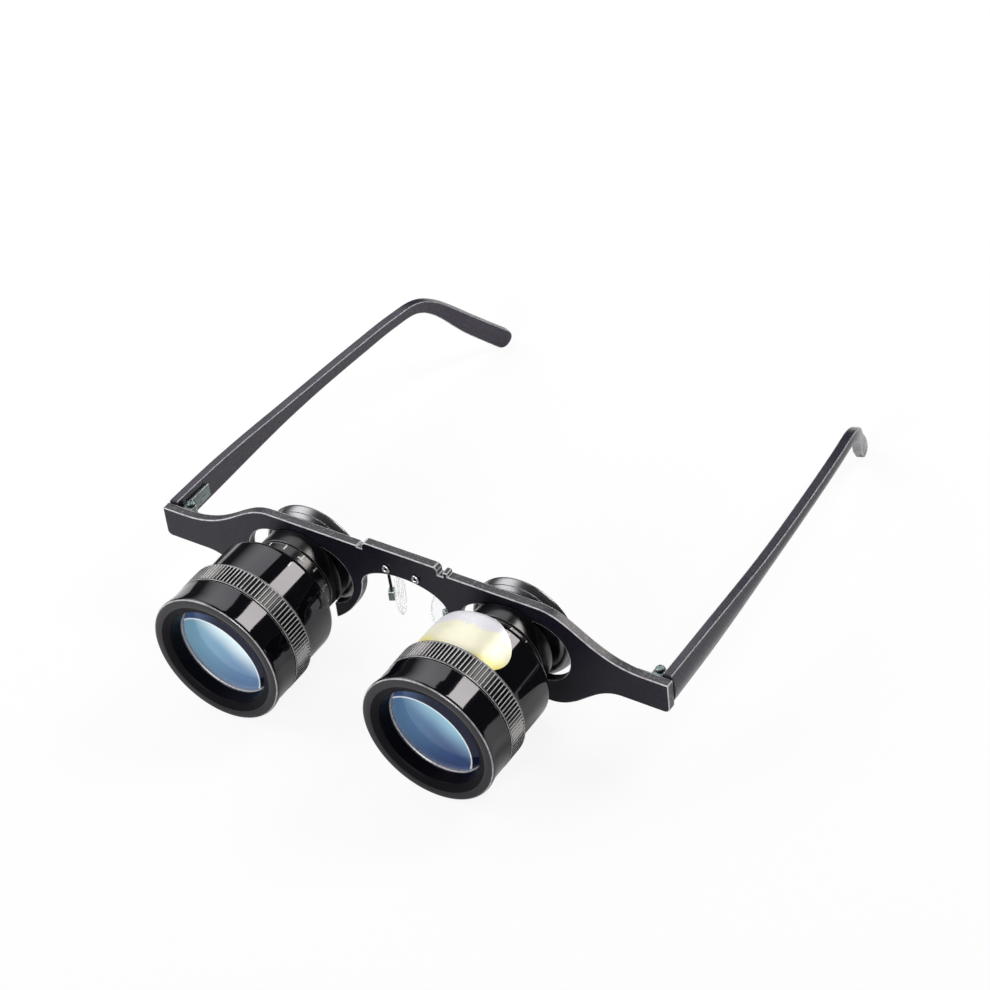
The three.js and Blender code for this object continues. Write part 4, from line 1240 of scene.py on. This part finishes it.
def makeRivet(side, sign):
    n = noseRest
    rear = plate["thickness"] + 2 * n["gap"] + n["bracketThickness"]
    head = n["rivetHeadRadius"]
    height = n["rivetHeadHeight"]
    hole = n["rivetHole"]
    low = -n["gap"] - height
    ring = arcPoints((0, 0), 1, 180, 360, 12)
    farDome = arcPoints((0, rear), 1, 0, 90, 6)
    bm = turned([
        (0, low + n["rivetHoleDepth"]),
        (hole, low + n["rivetHoleDepth"]),
        *[((head + hole) / 2 + (head - hole) / 2 * x, low + height * (1 + y)) for x, y in ring],
        (n["rivetRadius"], -n["gap"]),
        (n["rivetRadius"], rear),
        *[(head * x, rear + height * (y - rear)) for x, y in farDome],
    ], n["rivetSteps"], closed=False)
    for face in bm.faces:
        middle = face.calc_center_median()
        inHole = axisDistance(middle) < hole + slack and middle.y < plate["thickness"] / 2
        face.material_index = 1 if inHole else 0
    place = wornToRest @ Matrix.Translation((sign * n["rivetSpacing"] / 2, 0, n["rivetHeight"]))
    finishPiece(f"{side}Rivet", bm, "frame", "steel", [f"{side}_rivet"], second="baffleBlack",
                place=place)


def makeArm(side, sign):
    n = noseRest
    startX = n["rivetSpacing"] / 2 + n["rivetHeadRadius"] + n["gap"] + n["armRadius"]
    startY = plate["thickness"] + 2 * n["gap"] + n["bracketThickness"] + n["armRadius"]
    top = n["rivetHeight"] - n["bracketHeight"] / 2
    boxTop = n["padLevel"] + n["padBoxHeight"] / 2
    knee = top + (boxTop - top) * n["kneeShare"]
    points = [
        (startX, startY, n["rivetHeight"]), (startX, startY, top),
        (n["padHalfSpread"] + n["armRadius"], n["padSetback"] + n["armRadius"], knee),
        (n["padHalfSpread"], n["padSetback"], boxTop + 2 * n["armRadius"]),
        (n["padHalfSpread"], n["padSetback"], boxTop + n["gap"]),
    ]
    wire = bpy.data.curves.new(f"{side}NoseArm", "CURVE")
    wire.dimensions = "3D"
    wire.bevel_depth = n["wireRadius"] * mm
    wire.bevel_resolution = 5
    wire.resolution_u = 16
    wire.use_fill_caps = True
    spline = wire.splines.new("BEZIER")
    spline.bezier_points.add(len(points) - 1)
    for knot, (x, y, z) in zip(spline.bezier_points, points):
        knot.co = wornToRest @ Vector((sign * x, y, z))
        knot.handle_left_type = "AUTO"
        knot.handle_right_type = "AUTO"
    wire.materials.append(finishes["blackSteel"])
    piece = bpy.data.objects.new(f"{side}NoseArm", wire)
    bpy.context.scene.collection.objects.link(piece)
    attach(piece, "frame")
    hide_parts(f"{side}_nose_arm")


def makePad(side, sign):
    n = noseRest
    bm = bmesh.new()
    around, upwards = n["padSegments"]
    bmesh.ops.create_uvsphere(bm, u_segments=around, v_segments=upwards, radius=1)
    flat = n["padFlatShare"]
    for vert in bm.verts:
        vert.co.x = max(-flat, min(flat, vert.co.x)) / flat
    for _ in range(n["padRounds"]):
        bmesh.ops.smooth_vert(bm, verts=bm.verts, factor=n["padSmoothing"],
                              use_axis_x=True, use_axis_y=False, use_axis_z=False)
    half = (n["padThickness"] / 2, n["padDepth"] / 2, n["padHeight"] / 2)
    bmesh.ops.scale(bm, vec=half, verts=bm.verts)
    faceX = -sign * (n["padBoxWidth"] / 2 + n["gap"] + n["padThickness"] / 2)
    bmesh.ops.translate(bm, vec=(faceX, 0, 0), verts=bm.verts)
    lugEnd = n["padBoxWidth"] / 2 + 3 * n["gap"]
    lugMiddle = -sign * (n["gap"] + lugEnd) / 2
    addBox(bm, (lugEnd - n["gap"], n["padLug"], n["padLug"]), Matrix.Translation((lugMiddle, 0, 0)))
    bmesh.ops.recalc_face_normals(bm, faces=bm.faces)
    turn = Matrix.Rotation(-sign * radians(n["padTurn"]), 4, "Z")
    place = Matrix.Translation((sign * n["padHalfSpread"], n["padSetback"], n["padLevel"])) @ turn
    finishPiece(f"{side}NosePad", bm, f"{side}_nose_pad", "clearSilicone",
                [f"{side}_nose_pad"], place=wornToRest @ place)


refineNode("nose_bracket", "noseBracket", "frame", "blackSteel", noseRest["bracketEdge"])
for side, sign in sideSigns.items():
    makeRivet(side, sign)
    makeArm(side, sign)
    refineNode(f"{side}_pad_box", f"{side}PadBox", "frame", "hingeSteel", noseRest["padBoxEdge"])
    makePad(side, sign)
print("nose rest ready")


# Floor, lamps and world

studio = {
    "floorSize": 8.0, "floorColour": (0.82, 0.82, 0.82, 1), "cameraShare": 0.9, "glossyShare": 0.12,
    "floorWhite": (1.0, 1.0, 1.0, 1), "worldColour": (0.05, 0.05, 0.055, 1), "worldStrength": 1.0,
}


def makeFloor():
    bm = bmesh.new()
    bmesh.ops.create_grid(bm, x_segments=2, y_segments=2, size=studio["floorSize"])
    mesh = bpy.data.meshes.new("floor")
    bm.to_mesh(mesh)
    bm.free()
    floor = bpy.data.objects.new("floor", mesh)
    bpy.context.scene.collection.objects.link(floor)
    material = bpy.data.materials.new("paleFloor")
    material.use_nodes = True
    tree = material.node_tree
    tree.nodes.remove(tree.nodes["Principled BSDF"])
    matt = tree.nodes.new("ShaderNodeBsdfDiffuse")
    matt.inputs["Color"].default_value = studio["floorColour"]
    white = tree.nodes.new("ShaderNodeEmission")
    white.inputs["Color"].default_value = studio["floorWhite"]
    rays = tree.nodes.new("ShaderNodeLightPath").outputs
    straight = addMath(tree, "MAXIMUM", rays["Is Camera Ray"], rays["Is Transmission Ray"])
    straight = addMath(tree, "MULTIPLY", straight, studio["cameraShare"])
    glossy = addMath(tree, "MULTIPLY", rays["Is Glossy Ray"], studio["glossyShare"])
    mix = tree.nodes.new("ShaderNodeMixShader")
    tree.links.new(addMath(tree, "MAXIMUM", straight, glossy), mix.inputs["Fac"])
    tree.links.new(matt.outputs["BSDF"], mix.inputs[1])
    tree.links.new(white.outputs["Emission"], mix.inputs[2])
    tree.links.new(mix.outputs["Shader"], tree.nodes["Material Output"].inputs["Surface"])
    mesh.materials.append(material)


# Each panel is a strip beside the glasses, parallel to the barrels, so that its reflection
# on them has straight edges. Its angle turns up from the wearer's left-to-right line, and it
# fades in over a share of its width from one end or from both.
panels = {
    "key": {"angle": 60.5, "away": 0.8, "behind": 0.63, "width": 0.42, "length": 0.5, "glow": 10.5,
            "colour": (1.0, 0.965, 0.93), "fade": 0.0, "bothEnds": False},
    "top": {"angle": 131, "away": 1.0, "behind": 0.78, "width": 1.35, "length": 0.5, "glow": 2.1,
            "colour": (0.98, 0.97, 1.0), "fade": 0.6, "bothEnds": False},
    "side": {"angle": 136, "away": 1.0, "behind": -0.22, "width": 1.1, "length": 1.2, "glow": 3.6,
             "colour": (0.99, 0.98, 1.0), "fade": 0.4, "bothEnds": True},
}
sun = {"direction": (0.1, -0.93, 0.36), "strength": 2.0, "angle": 22.0}


def addLamp(lamp, place):
    holder = bpy.data.objects.new(lamp.name, lamp)
    holder.matrix_world = place
    bpy.context.scene.collection.objects.link(holder)


def makePanels():
    barrelFrame = Matrix.Translation((0, 0, focusJoint["pos_m"][2])) @ Matrix.Rotation(restTilt, 4, "X")
    for name, panel in panels.items():
        lamp = bpy.data.lights.new(f"{name}Panel", "AREA")
        lamp.shape = "RECTANGLE"
        lamp.size = panel["width"]
        lamp.size_y = panel["length"]
        lamp.energy = pi * panel["width"] * panel["length"] * panel["glow"]
        lamp.color = panel["colour"]
        if panel["fade"]:
            lamp.use_nodes = True
            tree = lamp.node_tree
            split = tree.nodes.new("ShaderNodeSeparateXYZ")
            overPanel = tree.nodes.new("ShaderNodeNewGeometry").outputs["Parametric"]
            tree.links.new(overPanel, split.inputs["Vector"])
            fade = addRange(tree, split.outputs["X"], 0.0, panel["fade"])
            if panel["bothEnds"]:
                farFade = addRange(tree, split.outputs["X"], 1.0, 1.0 - panel["fade"])
                fade = addMath(tree, "MULTIPLY", fade, farFade)
            tree.links.new(fade, tree.nodes["Emission"].inputs["Strength"])
        turn = radians(panel["angle"])
        outward = Vector((cos(turn), 0, sin(turn)))
        axes = Matrix((Vector((sin(turn), 0, -cos(turn))), Vector((0, 1, 0)), outward)).transposed().to_4x4()
        place = Matrix.Translation(outward * panel["away"] + Vector((0, panel["behind"], 0)))
        addLamp(lamp, barrelFrame @ place @ axes)
    lamp = bpy.data.lights.new("softSun", "SUN")
    lamp.energy = sun["strength"]
    lamp.angle = radians(sun["angle"])
    addLamp(lamp, Vector(sun["direction"]).to_track_quat("Z", "Y").to_matrix().to_4x4())


def makeWorld():
    world = bpy.data.worlds.new("studio")
    world.use_nodes = True
    background = world.node_tree.nodes["Background"]
    background.inputs["Color"].default_value = studio["worldColour"]
    background.inputs["Strength"].default_value = studio["worldStrength"]
    bpy.context.scene.world = world


makeFloor()
makePanels()
makeWorld()
bpy.context.scene.view_settings.view_transform = "Standard"
print("studio ready")
